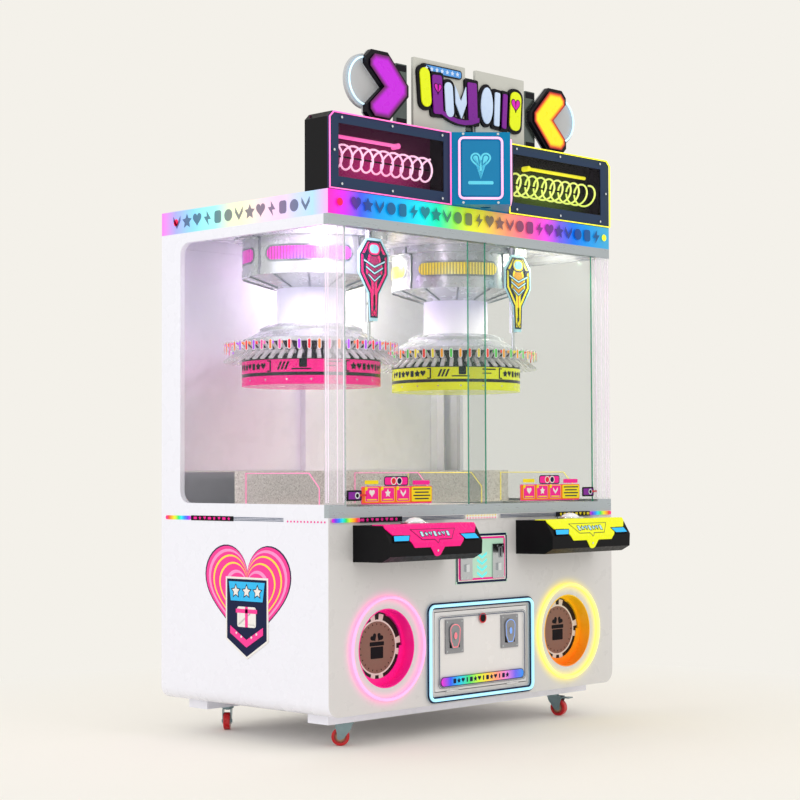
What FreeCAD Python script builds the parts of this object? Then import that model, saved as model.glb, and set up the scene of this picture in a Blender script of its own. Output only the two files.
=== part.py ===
"""Two-player clip prize machine: a glazed cabinet on casters with two clip carousels, modelled piece by piece.

All sizes are millimetres. The origin is on the floor under the centre of the whole machine's footprint.
+Z is up, +X is to the right as the players see it, and the players stand on the -Y side.
"""
import FreeCAD, Part
import math
import os

V = FreeCAD.Vector

# ---------------------------------------------------------------- cabinet
WIDTH = 1500.0
DEPTH = 874.0
CONSOLE_REACH = 178.0        # how far the button consoles stand out of the front
CABINET_BOTTOM = 120.0
CABINET_TOP = 1867.0
FASCIA_HEIGHT = 82.0
FASCIA_DEPTH = 36.0
FASCIA_WALL = 3.0
SHEET = 2.0                  # folded sheet steel
LOWER_CORNER_R = 45.0        # the side sheets roll under the cabinet at this radius
SIDE_RETURN = 50.0           # inward flanges of the side sheets
PANEL_HOLE_RETURN = 17.5     # flange round the service door opening

# ---------------------------------------------------------------- glazing
SILL_BOTTOM = 776.0
SILL_HEIGHT = 36.0
HEAD_HEIGHT = 34.0
RAIL_DEPTH = 40.0
CORNER_WIDTH = 83.0          # corner post and its end blocks, seen from the front
CORNER_DEPTH = 21.0
POST_WALL = 3.0
BLOCK_RISE = 8.0             # the lower end block stands this much above the sill rail
WINDOW_REAR_BAND = 105.0     # solid band of the side sheet behind its window
WINDOW_CORNER_R = 45.0
WINDOW_RETURN = 20.0
GLASS = 6.0
GLASS_LAP = 12.0             # the side glass is larger than its window by this much
PANE_OVERLAP = 80.0
PANE_FRONT_SETBACK = 8.0
PANE_PITCH = 12.0
PANE_CLEARANCE = 0.3
GROOVE_DEPTH = 8.0
HEAD_GROOVE_DEPTH = 14.0
PANE_LIFT_ENTRY = 10.0       # how far a pane reaches into the head rail

# ---------------------------------------------------------------- play deck
DECK_TOP = 810.0
SHELF_TOP = 932.0
SHELF_SETBACK = 500.0        # front of the raised rear shelf, behind the cabinet's front
DROP_INNER_X = 160.0
DROP_OUTER_X = 655.0
DROP_FRONT = 52.0
DROP_REAR = 467.0
GUARD_T = 5.0
GUARD_TOP = 926.0
GUARD_INNER_X = 142.0
GUARD_OUTER_X = 675.0
GUARD_FRONT = 122.0
GUARD_CHAMFER = 50.0

# ---------------------------------------------------------------- frame and casters
BEAM_WIDTH = 100.0
BEAM_LENGTH = 1366.0
BEAM_SETBACK = 75.0          # beam's outer face behind the cabinet's face
BEAM_WALL = 3.0
ANGLE = 40.0
ANGLE_T = 3.0
CASTER_X = 545.0
CASTER_PLATE = 62.0
CASTER_PLATE_T = 3.0
RACE_R = 22.0
RACE_H = 8.0
KINGPIN_R = 5.0
KINGPIN_HEAD_R = 8.0
KINGPIN_HEAD_T = 3.0
WHEEL_R = 31.0
CASTER_HEIGHT = 2 * WHEEL_R + 24.0
WHEEL_W = 24.0
TREAD_FILLET = 4.0
AXLE_R = 6.0
CASTER_TRAIL = 24.0
FORK_T = 3.0
FORK_GAP = 1.0
FORK_LEG_W = 22.0
PEDAL_PIN_OUT = 12.0         # pedal pin beyond the axle
PEDAL_PIN_Z = 2 * WHEEL_R + 6.0
PEDAL_PIN_R = 2.0
PEDAL_HUB_R = 4.0
PEDAL_REACH = 40.0
PEDAL_T = 4.0
CASTER_RUN_GAP = 0.3
RUN_FIT = 0.05               # radial running clearance of pins in bores

# ---------------------------------------------------------------- front: door, outlets, coin gear
DOOR_W = 486.0
DOOR_BOTTOM = 164.0
DOOR_TOP = 438.0
DOOR_GAP = 3.0
DOOR_FLANGE = 15.0
HINGE_BARREL_R = 3.0
HINGE_PIN_R = 1.5
HINGE_LENGTH = 60.0
HINGE_OFFSET = 160.0
LEAF_T = 1.2
LOCK_R = 14.0
LOCK_BARREL_R = 9.0
LOCK_Z = 407.0
CAM_LENGTH = 45.0
RETURN_PLATE_W = 92.0
RETURN_PLATE_H = 118.0
RETURN_PLATE_X = 147.0
RETURN_PLATE_Z = 351.0
RETURN_PLATE_T = 5.0
RETURN_CUP_DEPTH = 40.0
OUTLET_X = 480.0
OUTLET_Z = 332.0
OUTLET_HOLE_R = 134.0
SLEEVE_WALL = 3.7
SLEEVE_GAP = 0.3
SLEEVE_DEPTH = 60.0
SLEEVE_FLANGE_R = OUTLET_HOLE_R + 16.0
STEP_INNER_R = OUTLET_HOLE_R - 14.0
STEP_T = 12.0
STOP_INNER_R = OUTLET_HOLE_R - 28.0
FLAP_R = OUTLET_HOLE_R - 20.0
FLAP_T = 10.0
FLAP_HINGE_RISE = OUTLET_HOLE_R - 30.0
FLAP_PIN_R = 2.5
BIN_HALF_W = 140.0
BIN_DEPTH = 238.0
BIN_TOP = 480.0
BIN_FLOOR_FRONT = 203.0
BIN_FLOOR_REAR = 255.0
NEON_RING_R = OUTLET_HOLE_R + 38.0
NEON_TUBE_R = 6.0
NEON_BASE_T = 6.0
DOOR_NEON_W = 560.0
DOOR_NEON_BOTTOM = 131.0
DOOR_NEON_TOP = 467.0
DOOR_NEON_CORNER_R = 22.0
DOOR_NEON_BAND = 16.0
DOOR_NEON_T = 10.0
COIN_PLATE_W = 272.0
COIN_PLATE_BOTTOM = 531.0
COIN_PLATE_TOP = 707.0
COIN_PLATE_T = 3.0
COIN_PLATE_GAP = 0.3
SELECTOR_W = 62.0
SELECTOR_H = 123.0
SELECTOR_X = 85.0
SELECTOR_Z = 606.5
SELECTOR_T = 7.0
SELECTOR_BODY_W = 50.0
SELECTOR_BODY_H = 110.0
SELECTOR_BODY_D = 70.0
LEVER_W = 16.0
LEVER_H = 26.0
LEVER_DROP = 20.0
LEVER_STAND = 7.0
LEVER_GAP = 0.4

# ---------------------------------------------------------------- consoles
CONSOLE_X = 414.0
CONSOLE_W = 450.0
CONSOLE_TOP = 750.0
FACEPLATE_T = 3.0
CONSOLE_WALL = 3.0
CONSOLE_SECTION = [(0.0, 0.0), (139.0, 0.0), (175.0, -56.0), (173.0, -101.0), (136.0, -120.0), (0.0, -122.0)]
CONSOLE_LIP = 12.0           # inward back flange that bolts to the front sheet
BUTTON_OUT = 71.0            # button centre in front of the cabinet
BUTTON_R = 40.0
BUTTON_RISE = 24.0
BUTTON_SKIRT = 14.0
BUTTON_FLANGE = 3.0
BUTTON_TRAVEL = 4.0

# ---------------------------------------------------------------- turrets
TURRET_X = 385.0
TURRET_SETBACK = 473.0       # turret axis behind the cabinet's front
COLUMN_R = 125.0
COLUMN_WALL = 4.0
CANOPY_R = 247.0
CANOPY_LIP_R = 250.0
CANOPY_FLANGE_R = 277.0
CANOPY_FLANGE_H = 27.0
CANOPY_BODY_H = 110.0
CANOPY_LIP_H = 24.0
CANOPY_CONE_H = 39.0
CANOPY_WALL = 3.0
SKIRT_R = 245.0
SKIRT_BOTTOM = 1388.0
SKIRT_TOP = 1455.0
SKIRT_STEP_R = 185.0
SKIRT_TOP_R = 160.0
SKIRT_WALL = 3.0
DRUM_R = 250.0
DRUM_BOTTOM = 1235.0
DRUM_SHOULDER = 1342.0
DRUM_TOP = 1386.0
COLLAR_R = DRUM_R - 4.0
DRUM_WALL = 3.0
SHAFT_R = 60.0
THRUST_R = 80.0
THRUST_T = 14.0
GEAR_MODULE = 4.0
RING_TEETH = 104
PINION_TEETH = 16
GEAR_T = 12.0
GEAR_GAP = 0.3
MOTOR_PLATE_T = 6.0
MOTOR_PLATE_W = 90.0
MOTOR_R = 30.0
MOTOR_H = 80.0
PINION_SHAFT_R = 5.0
PINION_SHAFT_DEPTH = 30.0

# ---------------------------------------------------------------- clips and poker rods
CLIP_COUNT = 57
CLIP_W = 14.0
CLIP_INNER_W = 8.0
CLIP_PIVOT_OUT = 26.0        # pivot outside the collar
CLIP_REACH = 70.0            # tail tip outside the collar
CLIP_PIVOT_RISE = 14.0
CLIP_TAIL_RISE = 35.0
CLIP_TAIL_T = 6.0
CLIP_PIN_R = 1.5
CLIP_BOSS_R = 2.4
POKER_OUT = 50.0             # rod axis outside the collar
POKER_R = 6.0
POKER_TIP_RISE = 44.3        # rod tip above the drum's shoulder
POKER_LENGTH = 240.0
POKER_HOUSING_R = 14.0
POKER_HOUSING_RISE = 110.0   # housing's lower end above the drum's shoulder
POKER_FLANGE_W = 60.0
POKER_FLANGE_T = 6.0
PENDANT_W = 150.0
PENDANT_H = 290.0
PENDANT_T = 4.0
PENDANT_BOTTOM = 1455.0
PENDANT_ARM = 14.0

# ---------------------------------------------------------------- marquee and sign
MARQUEE_INNER_X = 155.0
MARQUEE_DEPTH = 112.0
MARQUEE_TOP = CABINET_TOP + 261.0
MARQUEE_CHAMFER = 20.0
MARQUEE_WALL = 2.0
MARQUEE_WINDOW_INNER_X = 187.0
MARQUEE_WINDOW_OUTER_X = 700.0
MARQUEE_WINDOW_BOTTOM = CABINET_TOP + 45.0
MARQUEE_WINDOW_TOP = CABINET_TOP + 224.0
MARQUEE_PANE_T = 3.0
MARQUEE_PANE_LAP = 12.0
POD_REACH = 148.0
POD_LIFT = 4.0
POD_TAIL = 37.0
COIL_R = 45.0
COIL_TUBE_R = 5.0
COIL_TURNS = 10
COIL_ROD_R = 4.0
SIGN_SETBACK = 59.0          # post's front face behind the cabinet's front
SIGN_HALF_W = 297.0
SIGN_BOTTOM = CABINET_TOP + 268.0
SIGN_TOP = CABINET_TOP + 515.0
SIGN_T = 12.0
POST_X = 345.0
POST_W = 55.0
POST_T = 16.0
POST_TOP = CABINET_TOP + 483.0
TITLE_HALF_W = 285.0
TITLE_BOTTOM = CABINET_TOP + 313.0
TITLE_TOP = CABINET_TOP + 498.0
TITLE_T = 12.0
EMBLEM_T = 25.0
EMBLEM_Z = CABINET_TOP + 385.0
EMBLEM_INNER_X = 328.0
EMBLEM_W = 207.0
EMBLEM_HALF_H = 122.0
EMBLEM_TIP = 38.0
EMBLEM_NOTCH = 128.0
DISC_X = 517.0
DISC_Z = CABINET_TOP + 398.0
DISC_R = 95.0
DISC_T = 12.0

# ---------------------------------------------------------------- back
INLET_W = 60.0
INLET_H = 48.0
INLET_X = -500.0
INLET_Z = 260.0
INLET_DEPTH = 35.0
PILLAR_HALF_W = 70.0
PILLAR_DEPTH = 30.0
LOUVRE_COUNT = 8
LOUVRE_PITCH = 26.0
LOUVRE_W = 260.0
LOUVRE_H = 8.0
LOUVRE_BOTTOM = 420.0

# ---------------------------------------------------------------- places worked out from the sizes
FRONT = -(DEPTH + CONSOLE_REACH) / 2 + CONSOLE_REACH
REAR = FRONT + DEPTH
HALF_W = WIDTH / 2
CEILING = CABINET_TOP - FASCIA_HEIGHT
RAIL_HALF = HALF_W - CORNER_WIDTH
SILL_TOP = SILL_BOTTOM + SILL_HEIGHT
HEAD_BOTTOM = CEILING - HEAD_HEIGHT
POST_BOTTOM = SILL_TOP + BLOCK_RISE
POST_HEAD = HEAD_BOTTOM - SHEET
FRAME_X = HALF_W - SIDE_RETURN
GLASS_X = HALF_W - WINDOW_RETURN
TURRET_Y = FRONT + TURRET_SETBACK
BEAM_YS = (FRONT + BEAM_SETBACK + BEAM_WIDTH / 2, REAR - BEAM_SETBACK - BEAM_WIDTH / 2)
SHELF_Y = FRONT + SHELF_SETBACK
SIGN_Y = FRONT + SIGN_SETBACK
SLEEVE_R = OUTLET_HOLE_R - SLEEVE_GAP
FLAP_Z = OUTLET_Z + FLAP_HINGE_RISE
FLAP_Y = FRONT + SLEEVE_DEPTH - STEP_T / 2 - 1.0
RING_PITCH_R = GEAR_MODULE * RING_TEETH / 2
PINION_PITCH_R = GEAR_MODULE * PINION_TEETH / 2
PINION_OFFSET = RING_PITCH_R - PINION_PITCH_R
THRUST_TOP = DRUM_TOP - DRUM_WALL - CASTER_RUN_GAP
GEAR_BOTTOM = DRUM_SHOULDER - GEAR_T - DRUM_WALL
MOTOR_PLATE_TOP = GEAR_BOTTOM - GEAR_GAP
CLIP_PIVOT = (COLLAR_R + CLIP_PIVOT_OUT, DRUM_SHOULDER + CLIP_PIVOT_RISE)
POKER_R_POS = COLLAR_R + POKER_OUT
POKER_TIP = DRUM_SHOULDER + POKER_TIP_RISE


# ---------------------------------------------------------------- helpers
def box(x0, x1, y0, y1, z0, z1):
    """A block between two corners, given in any order."""
    low = V(min(x0, x1), min(y0, y1), min(z0, z1))
    return Part.makeBox(abs(x1 - x0), abs(y1 - y0), abs(z1 - z0), low)


def cylinder(radius, start, axis, length):
    return Part.makeCylinder(radius, length, V(*start), V(*axis))


def tube(outer, inner, start, axis, length):
    return cylinder(outer, start, axis, length).cut(cylinder(inner, start, axis, length))


def prism(points, direction):
    """Extrude the polygon through 3-D points along a vector."""
    ring = [V(*p) for p in points]
    return Part.Face(Part.makePolygon(ring + ring[:1])).extrude(V(*direction))


def prism_x(points_yz, x0, x1):
    return prism([(x0, y, z) for y, z in points_yz], (x1 - x0, 0, 0))


def prism_y(points_xz, y0, y1):
    return prism([(x, y0, z) for x, z in points_xz], (0, y1 - y0, 0))


def revolve(points_rz, x, y):
    """Turn an (r, z) outline about the vertical line through x, y."""
    ring = [V(x + r, y, z) for r, z in points_rz]
    face = Part.Face(Part.makePolygon(ring + ring[:1]))
    return face.revolve(V(x, y, 0), V(0, 0, 1), 360)


def rounded_rect_y(half_w, z0, z1, radius, y0, y1):
    """A rounded rectangle in the XZ plane, extruded along Y."""
    core = box(-half_w + radius, half_w - radius, y0, y1, z0, z1)
    core = core.fuse(box(-half_w, half_w, y0, y1, z0 + radius, z1 - radius))
    for x in (-half_w + radius, half_w - radius):
        for z in (z0 + radius, z1 - radius):
            core = core.fuse(cylinder(radius, (x, y0, z), (0, 1, 0), y1 - y0))
    return core.removeSplitter()


def inset(points, amount):
    """Move each side of a convex polygon inwards by amount (outwards if negative)."""
    n = len(points)
    area = sum(points[i - 1][0] * points[i][1] - points[i][0] * points[i - 1][1] for i in range(n))
    sign = 1.0 if area > 0 else -1.0
    lines = []
    for i in range(n):
        (ax, ay), (bx, by) = points[i], points[(i + 1) % n]
        length = math.hypot(bx - ax, by - ay)
        nx, ny = -(by - ay) / length * sign, (bx - ax) / length * sign
        lines.append((nx, ny, nx * ax + ny * ay + amount))
    result = []
    for i in range(n):
        a1, b1, c1 = lines[i - 1]
        a2, b2, c2 = lines[i]
        det = a1 * b2 - a2 * b1
        result.append(((c1 * b2 - c2 * b1) / det, (a1 * c2 - a2 * c1) / det))
    return result


def mirror_x(shape):
    """The same piece on the machine's other side."""
    return shape.mirror(V(0, 0, 0), V(1, 0, 0))


def both_sides(shape):
    """A right-hand piece and its mirror image, as two solids."""
    return Part.makeCompound([mirror_x(shape), shape])


def fuse_all(shapes):
    return shapes[0].multiFuse(shapes[1:]).removeSplitter()


def save(shape, node):
    shape.exportStep("parts/%s.step" % node)
    print(node, len(shape.Solids), "solid(s)", round(shape.Volume / 1000.0), "cm3", shape.isValid())


# ---------------------------------------------------------------- base, frame and sheets
def floor_outline(margin, top):
    """Front outline of the cabinet, with its two rolled lower corners, as an XZ wire's face."""
    x = HALF_W - margin
    z = CABINET_BOTTOM + margin
    r = LOWER_CORNER_R - margin
    k = r * (1 - math.sqrt(0.5))
    y = FRONT
    edges = [Part.LineSegment(V(-x, y, top), V(-x, y, z + r)),
             Part.Arc(V(-x, y, z + r), V(-x + k, y, z + k), V(-x + r, y, z)),
             Part.LineSegment(V(-x + r, y, z), V(x - r, y, z)),
             Part.Arc(V(x - r, y, z), V(x - k, y, z + k), V(x, y, z + r)),
             Part.LineSegment(V(x, y, z + r), V(x, y, top)),
             Part.LineSegment(V(x, y, top), V(-x, y, top))]
    return Part.Face(Part.Wire([e.toShape() for e in edges]))


def outline_solid(margin, top, y0, y1):
    face = floor_outline(margin, top)
    face.translate(V(0, y0 - FRONT, 0))
    return face.extrude(V(0, y1 - y0, 0))


def cabinet_frame():
    """Welded base: two channel beams, the floor sheet, angle uprights and the rails that carry the deck."""
    parts = []
    floor_half = HALF_W - LOWER_CORNER_R - 15.0
    for y in BEAM_YS:
        y0, y1 = y - BEAM_WIDTH / 2, y + BEAM_WIDTH / 2
        beam = box(-BEAM_LENGTH / 2, BEAM_LENGTH / 2, y0, y1, CASTER_HEIGHT, CABINET_BOTTOM)
        inner_x = BEAM_LENGTH / 2 - BEAM_WALL
        hollow = box(-inner_x, inner_x, y0 + BEAM_WALL, y1 - BEAM_WALL, CASTER_HEIGHT + BEAM_WALL, CABINET_BOTTOM)
        parts.append(beam.cut(hollow))
    front, rear = FRONT + 2 * SHEET, REAR - 2 * SHEET
    floor_top = CABINET_BOTTOM + SHEET
    parts.append(box(-floor_half, floor_half, front, rear, CABINET_BOTTOM, floor_top))
    rail_top = DECK_TOP - SHEET
    for side in (-1, 1):
        foot = side * (floor_half - ANGLE)
        outer = side * FRAME_X
        for y, inward, top in ((front, 1, SILL_BOTTOM - SHEET), (rear, -1, CEILING)):
            parts.append(box(outer - side * ANGLE, outer, y, y + inward * ANGLE_T, floor_top + LOWER_CORNER_R, top))
            parts.append(box(foot, side * floor_half, y, y + inward * ANGLE_T, floor_top, floor_top + 2 * ANGLE))
            parts.append(box(outer - side * ANGLE_T, outer, y, y + inward * ANGLE, floor_top + LOWER_CORNER_R, top))
        rail_front = FRONT + RAIL_DEPTH
        parts.append(box(outer - side * ANGLE_T, outer, front, rear, rail_top - ANGLE, SILL_BOTTOM - SHEET))
        parts.append(box(outer - side * ANGLE_T, outer, rail_front, rear, rail_top - ANGLE, rail_top))
        parts.append(box(outer - side * ANGLE, outer, rail_front, rear, rail_top - ANGLE_T, rail_top))
    parts.append(box(-FRAME_X, FRAME_X, rear - ANGLE_T, rear, rail_top - ANGLE, rail_top))
    parts.append(box(-FRAME_X, FRAME_X, rear - ANGLE_T, rear, CEILING - ANGLE, CEILING))
    return fuse_all(parts)


def side_panel():
    """Right-hand side sheet: rolled under at the bottom, flanged, with the large window."""
    outer = outline_solid(0, CEILING, FRONT + SHEET, REAR)
    shell = outer.cut(outline_solid(SHEET, CEILING - SHEET, FRONT + SHEET, REAR))
    flange_x = HALF_W - LOWER_CORNER_R - 15.0
    keep = box(flange_x, HALF_W, FRONT, REAR, CABINET_BOTTOM, CABINET_BOTTOM + LOWER_CORNER_R)
    keep = keep.fuse(box(FRAME_X, HALF_W, FRONT, REAR, CABINET_BOTTOM + LOWER_CORNER_R, CEILING))
    shell = shell.common(keep)
    flange_low = CABINET_BOTTOM + LOWER_CORNER_R
    inner = HALF_W - SHEET
    shell = shell.fuse(box(FRAME_X, inner, FRONT + SHEET, FRONT + 2 * SHEET, flange_low, SILL_BOTTOM))
    shell = shell.fuse(box(FRAME_X, inner, REAR - 2 * SHEET, REAR - SHEET, flange_low, CEILING - SHEET))
    rear_y = REAR - WINDOW_REAR_BAND
    r = WINDOW_CORNER_R

    def window(grow, x0, x1):
        low, high, back = POST_BOTTOM - grow, POST_HEAD + grow, rear_y + grow
        rad = r + grow
        hole = box(x0, x1, FRONT, back - rad, low, high)
        hole = hole.fuse(box(x0, x1, FRONT, back, low + rad, high - rad))
        for z in (low + rad, high - rad):
            hole = hole.fuse(cylinder(rad, (x0, back - rad, z), (1, 0, 0), x1 - x0))
        return hole.removeSplitter()

    ring = window(SHEET, GLASS_X, inner).cut(window(0, GLASS_X, inner))
    shell = shell.cut(window(0, GLASS_X - 1, HALF_W + 1)).fuse(ring)
    corner = box(FRAME_X - 1, HALF_W + 1, FRONT, FRONT + CORNER_DEPTH, SILL_BOTTOM, CEILING)
    return shell.cut(corner).removeSplitter()


def front_panel():
    """Front sheet with the console, coin, door and outlet openings, a top flange and the hinge's fixed knuckles."""
    sheet = outline_solid(0, SILL_BOTTOM, FRONT, FRONT + SHEET)
    top = box(-RAIL_HALF, RAIL_HALF, FRONT, FRONT + RAIL_DEPTH, SILL_BOTTOM - SHEET, SILL_BOTTOM)
    sheet = sheet.fuse(top)
    half_door = DOOR_W / 2 + DOOR_GAP
    low, high = DOOR_BOTTOM - DOOR_GAP, DOOR_TOP + DOOR_GAP
    ring_end = FRONT + PANEL_HOLE_RETURN
    ring = box(-half_door - SHEET, half_door + SHEET, FRONT, ring_end, low - SHEET, high + SHEET)
    sheet = sheet.fuse(ring).cut(box(-half_door, half_door, FRONT, ring_end, low, high))
    for side in (-1, 1):
        x = side * OUTLET_X
        sheet = sheet.cut(cylinder(OUTLET_HOLE_R, (x, FRONT, OUTLET_Z), (0, 1, 0), SHEET))
        x = side * SELECTOR_X
        w, h = SELECTOR_BODY_W / 2 + 1, SELECTOR_BODY_H / 2 + 1
        sheet = sheet.cut(box(x - w, x + w, FRONT, FRONT + SHEET, SELECTOR_Z - h, SELECTOR_Z + h))
    return fuse_all([sheet] + hinge_knuckles(False))


def hinge_knuckles(moving):
    """Two barrel hinges under the service door; the fixed halves carry the pins."""
    y, z = FRONT - HINGE_BARREL_R, DOOR_BOTTOM - DOOR_GAP / 2
    third = HINGE_LENGTH / 3
    gap = 0.3
    made = []
    for side in (-1, 1):
        start = side * HINGE_OFFSET - HINGE_LENGTH / 2
        if moving:
            barrel = tube(HINGE_BARREL_R, HINGE_PIN_R + RUN_FIT, (start + third, y, z), (1, 0, 0), third)
            leaf = box(start + third, start + 2 * third, FRONT - LEAF_T, FRONT, z + 1, z + 18)
            made.append(barrel.fuse(leaf))
        else:
            made.append(cylinder(HINGE_PIN_R, (start, y, z), (1, 0, 0), HINGE_LENGTH))
            for x in (start, start + 2 * third + gap):
                length = third - gap
                made.append(cylinder(HINGE_BARREL_R, (x, y, z), (1, 0, 0), length))
                made.append(box(x, x + length, FRONT - LEAF_T, FRONT, z - 10, z - 1))
    return made


def rear_panel():
    """Rear sheet with a pressed centre pillar, cooling louvres and the inlet's cut-out."""
    sheet = outline_solid(SHEET, CEILING - SHEET, REAR - SHEET, REAR)
    pillar = box(-PILLAR_HALF_W, PILLAR_HALF_W, REAR - PILLAR_DEPTH, REAR - SHEET, SHELF_TOP, CEILING - ANGLE)
    hollow = box(-PILLAR_HALF_W + SHEET, PILLAR_HALF_W - SHEET, REAR - PILLAR_DEPTH + SHEET, REAR - SHEET,
                 SHELF_TOP, CEILING - ANGLE)
    sheet = sheet.fuse(pillar.cut(hollow))
    for side in (-1, 1):
        for i in range(LOUVRE_COUNT):
            z = LOUVRE_BOTTOM + i * LOUVRE_PITCH
            x = side * OUTLET_X
            sheet = sheet.cut(box(x - LOUVRE_W / 2, x + LOUVRE_W / 2, REAR - SHEET, REAR, z, z + LOUVRE_H))
    cut_x, cut_z = INLET_W / 2 - 4, INLET_H / 2 - 4
    return sheet.cut(box(INLET_X - cut_x, INLET_X + cut_x, REAR - SHEET, REAR, INLET_Z - cut_z, INLET_Z + cut_z))


def power_inlet():
    """Appliance inlet clamped behind the rear sheet, its socket facing out through the cut-out."""
    rim = 4.0
    body = box(INLET_X - INLET_W / 2, INLET_X + INLET_W / 2, REAR - SHEET - rim, REAR - SHEET,
               INLET_Z - INLET_H / 2, INLET_Z + INLET_H / 2)
    w, h = INLET_W / 2 - rim * 2, INLET_H / 2 - rim * 2
    well = box(INLET_X - w, INLET_X + w, REAR - SHEET - INLET_DEPTH, REAR - SHEET, INLET_Z - h, INLET_Z + h)
    wall = 2.0
    hollow = box(INLET_X - w + wall, INLET_X + w - wall, REAR - SHEET - INLET_DEPTH + wall, REAR - SHEET,
                 INLET_Z - h + wall, INLET_Z + h - wall)
    shell = body.fuse(well).cut(hollow)
    blades = [box(INLET_X + dx - 1, INLET_X + dx + 1, REAR - SHEET - INLET_DEPTH, REAR - SHEET - 12,
                  INLET_Z + dz - 2, INLET_Z + dz + 2) for dx, dz in ((-7, 3), (7, 3), (0, -4))]
    return fuse_all([shell] + blades)


def roof_panel():
    """Roof box: ceiling sheet, upstand walls and top sheet with a cable opening."""
    x = HALF_W - FASCIA_DEPTH
    outer = box(-x, x, FRONT + FASCIA_DEPTH, REAR, CEILING, CABINET_TOP)
    inner = box(-x + SHEET, x - SHEET, FRONT + FASCIA_DEPTH + SHEET, REAR - SHEET, CEILING + SHEET,
                CABINET_TOP - SHEET)
    opening = cylinder(45.0, (0, REAR - 150, CABINET_TOP - 2 * SHEET), (0, 0, 1), 3 * SHEET)
    return outer.cut(inner).cut(opening)


def fascia_lightboxes():
    """Three lit edge boxes round the roof: one across the front, one along each side."""
    x_in = HALF_W - FASCIA_DEPTH
    wall = FASCIA_WALL
    front = box(-HALF_W, HALF_W, FRONT, FRONT + FASCIA_DEPTH, CEILING, CABINET_TOP)
    front = front.cut(box(-HALF_W + wall, HALF_W - wall, FRONT + wall, FRONT + FASCIA_DEPTH,
                          CEILING + wall, CABINET_TOP - wall))
    side = box(x_in, HALF_W, FRONT + FASCIA_DEPTH, REAR, CEILING, CABINET_TOP)
    side = side.cut(box(x_in, HALF_W - wall, FRONT + FASCIA_DEPTH + wall, REAR - wall,
                        CEILING + wall, CABINET_TOP - wall))
    return Part.makeCompound([front, side, mirror_x(side)])


# ---------------------------------------------------------------- glazing
def pane_y(track):
    return FRONT + PANE_FRONT_SETBACK + track * PANE_PITCH


def window_tracks():
    """Sill and head rails with two grooves each, and the four end blocks that hold rails and corner posts."""
    rails = []
    for z0, z1, groove0, groove1 in ((SILL_BOTTOM, SILL_TOP, SILL_TOP - GROOVE_DEPTH, SILL_TOP),
                                     (HEAD_BOTTOM, CEILING, HEAD_BOTTOM, HEAD_BOTTOM + HEAD_GROOVE_DEPTH)):
        rail = box(-RAIL_HALF, RAIL_HALF, FRONT, FRONT + RAIL_DEPTH, z0, z1)
        for track in (0, 1):
            y = pane_y(track)
            rail = rail.cut(box(-RAIL_HALF, RAIL_HALF, y - PANE_CLEARANCE, y + GLASS + PANE_CLEARANCE,
                                groove0, groove1))
        rails.append(rail)
    for side in (-1, 1):
        for z0, z1 in ((SILL_BOTTOM, POST_BOTTOM), (POST_HEAD, CEILING)):
            rails.append(box(side * RAIL_HALF, side * HALF_W, FRONT, FRONT + CORNER_DEPTH, z0, z1))
    return Part.makeCompound(rails)


def window(side):
    """Sliding front pane: -1 is the left one in the front track, 1 the right one behind it."""
    track = 0 if side < 0 else 1
    y = pane_y(track)
    inner = -side * PANE_OVERLAP / 2
    outer = side * (RAIL_HALF - SHEET)
    z0 = SILL_TOP - GROOVE_DEPTH + PANE_CLEARANCE
    return box(inner, outer, y, y + GLASS, z0, HEAD_BOTTOM + PANE_LIFT_ENTRY)


def corner_posts():
    """Clear hollow posts at the two front corners."""
    outer = box(RAIL_HALF, HALF_W, FRONT, FRONT + CORNER_DEPTH, POST_BOTTOM, POST_HEAD)
    w = POST_WALL
    inner = box(RAIL_HALF + w, HALF_W - w, FRONT + w, FRONT + CORNER_DEPTH - w, POST_BOTTOM, POST_HEAD)
    return both_sides(outer.cut(inner))


def side_glasses():
    """Fixed side panes, seated on the window returns and standing on the deck."""
    rear = REAR - WINDOW_REAR_BAND + GLASS_LAP
    pane = box(GLASS_X - GLASS, GLASS_X, FRONT + RAIL_DEPTH, rear, DECK_TOP, POST_HEAD + GLASS_LAP)
    return both_sides(pane)


# ---------------------------------------------------------------- deck and prize path
def play_deck():
    """Deck sheet with two drop openings and the raised rear shelf."""
    x = FRAME_X
    glass_in = GLASS_X
    deck = box(-glass_in, glass_in, FRONT + RAIL_DEPTH, SHELF_Y + SHEET, DECK_TOP - SHEET, DECK_TOP)
    riser_half = GLASS_X - GLASS
    deck = deck.fuse(box(-riser_half, riser_half, SHELF_Y, SHELF_Y + SHEET, DECK_TOP - SHEET, SHELF_TOP))
    rear = REAR - 2 * SHEET - ANGLE
    deck = deck.fuse(box(-riser_half, riser_half, SHELF_Y, rear, SHELF_TOP - SHEET, SHELF_TOP))
    deck = deck.fuse(box(-x + ANGLE, x - ANGLE, rear, REAR - 2 * SHEET - ANGLE_T, SHELF_TOP - SHEET, SHELF_TOP))
    for side in (-1, 1):
        deck = deck.cut(box(side * DROP_INNER_X, side * DROP_OUTER_X, FRONT + DROP_FRONT, FRONT + DROP_REAR,
                            DECK_TOP - SHEET, DECK_TOP))
    return deck.removeSplitter()


def guard_plates():
    """Four clear plates with a clipped upper corner, standing on the deck either side of the drop openings."""
    y0, y1 = FRONT + GUARD_FRONT, SHELF_Y
    outline = [(y0, DECK_TOP), (y1, DECK_TOP), (y1, GUARD_TOP), (y0 + GUARD_CHAMFER, GUARD_TOP),
               (y0, GUARD_TOP - GUARD_CHAMFER)]
    plates = []
    for x in (-GUARD_OUTER_X, -GUARD_INNER_X, GUARD_INNER_X, GUARD_OUTER_X):
        plates.append(prism_x(outline, x - GUARD_T / 2, x + GUARD_T / 2))
    return Part.makeCompound(plates)


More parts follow.
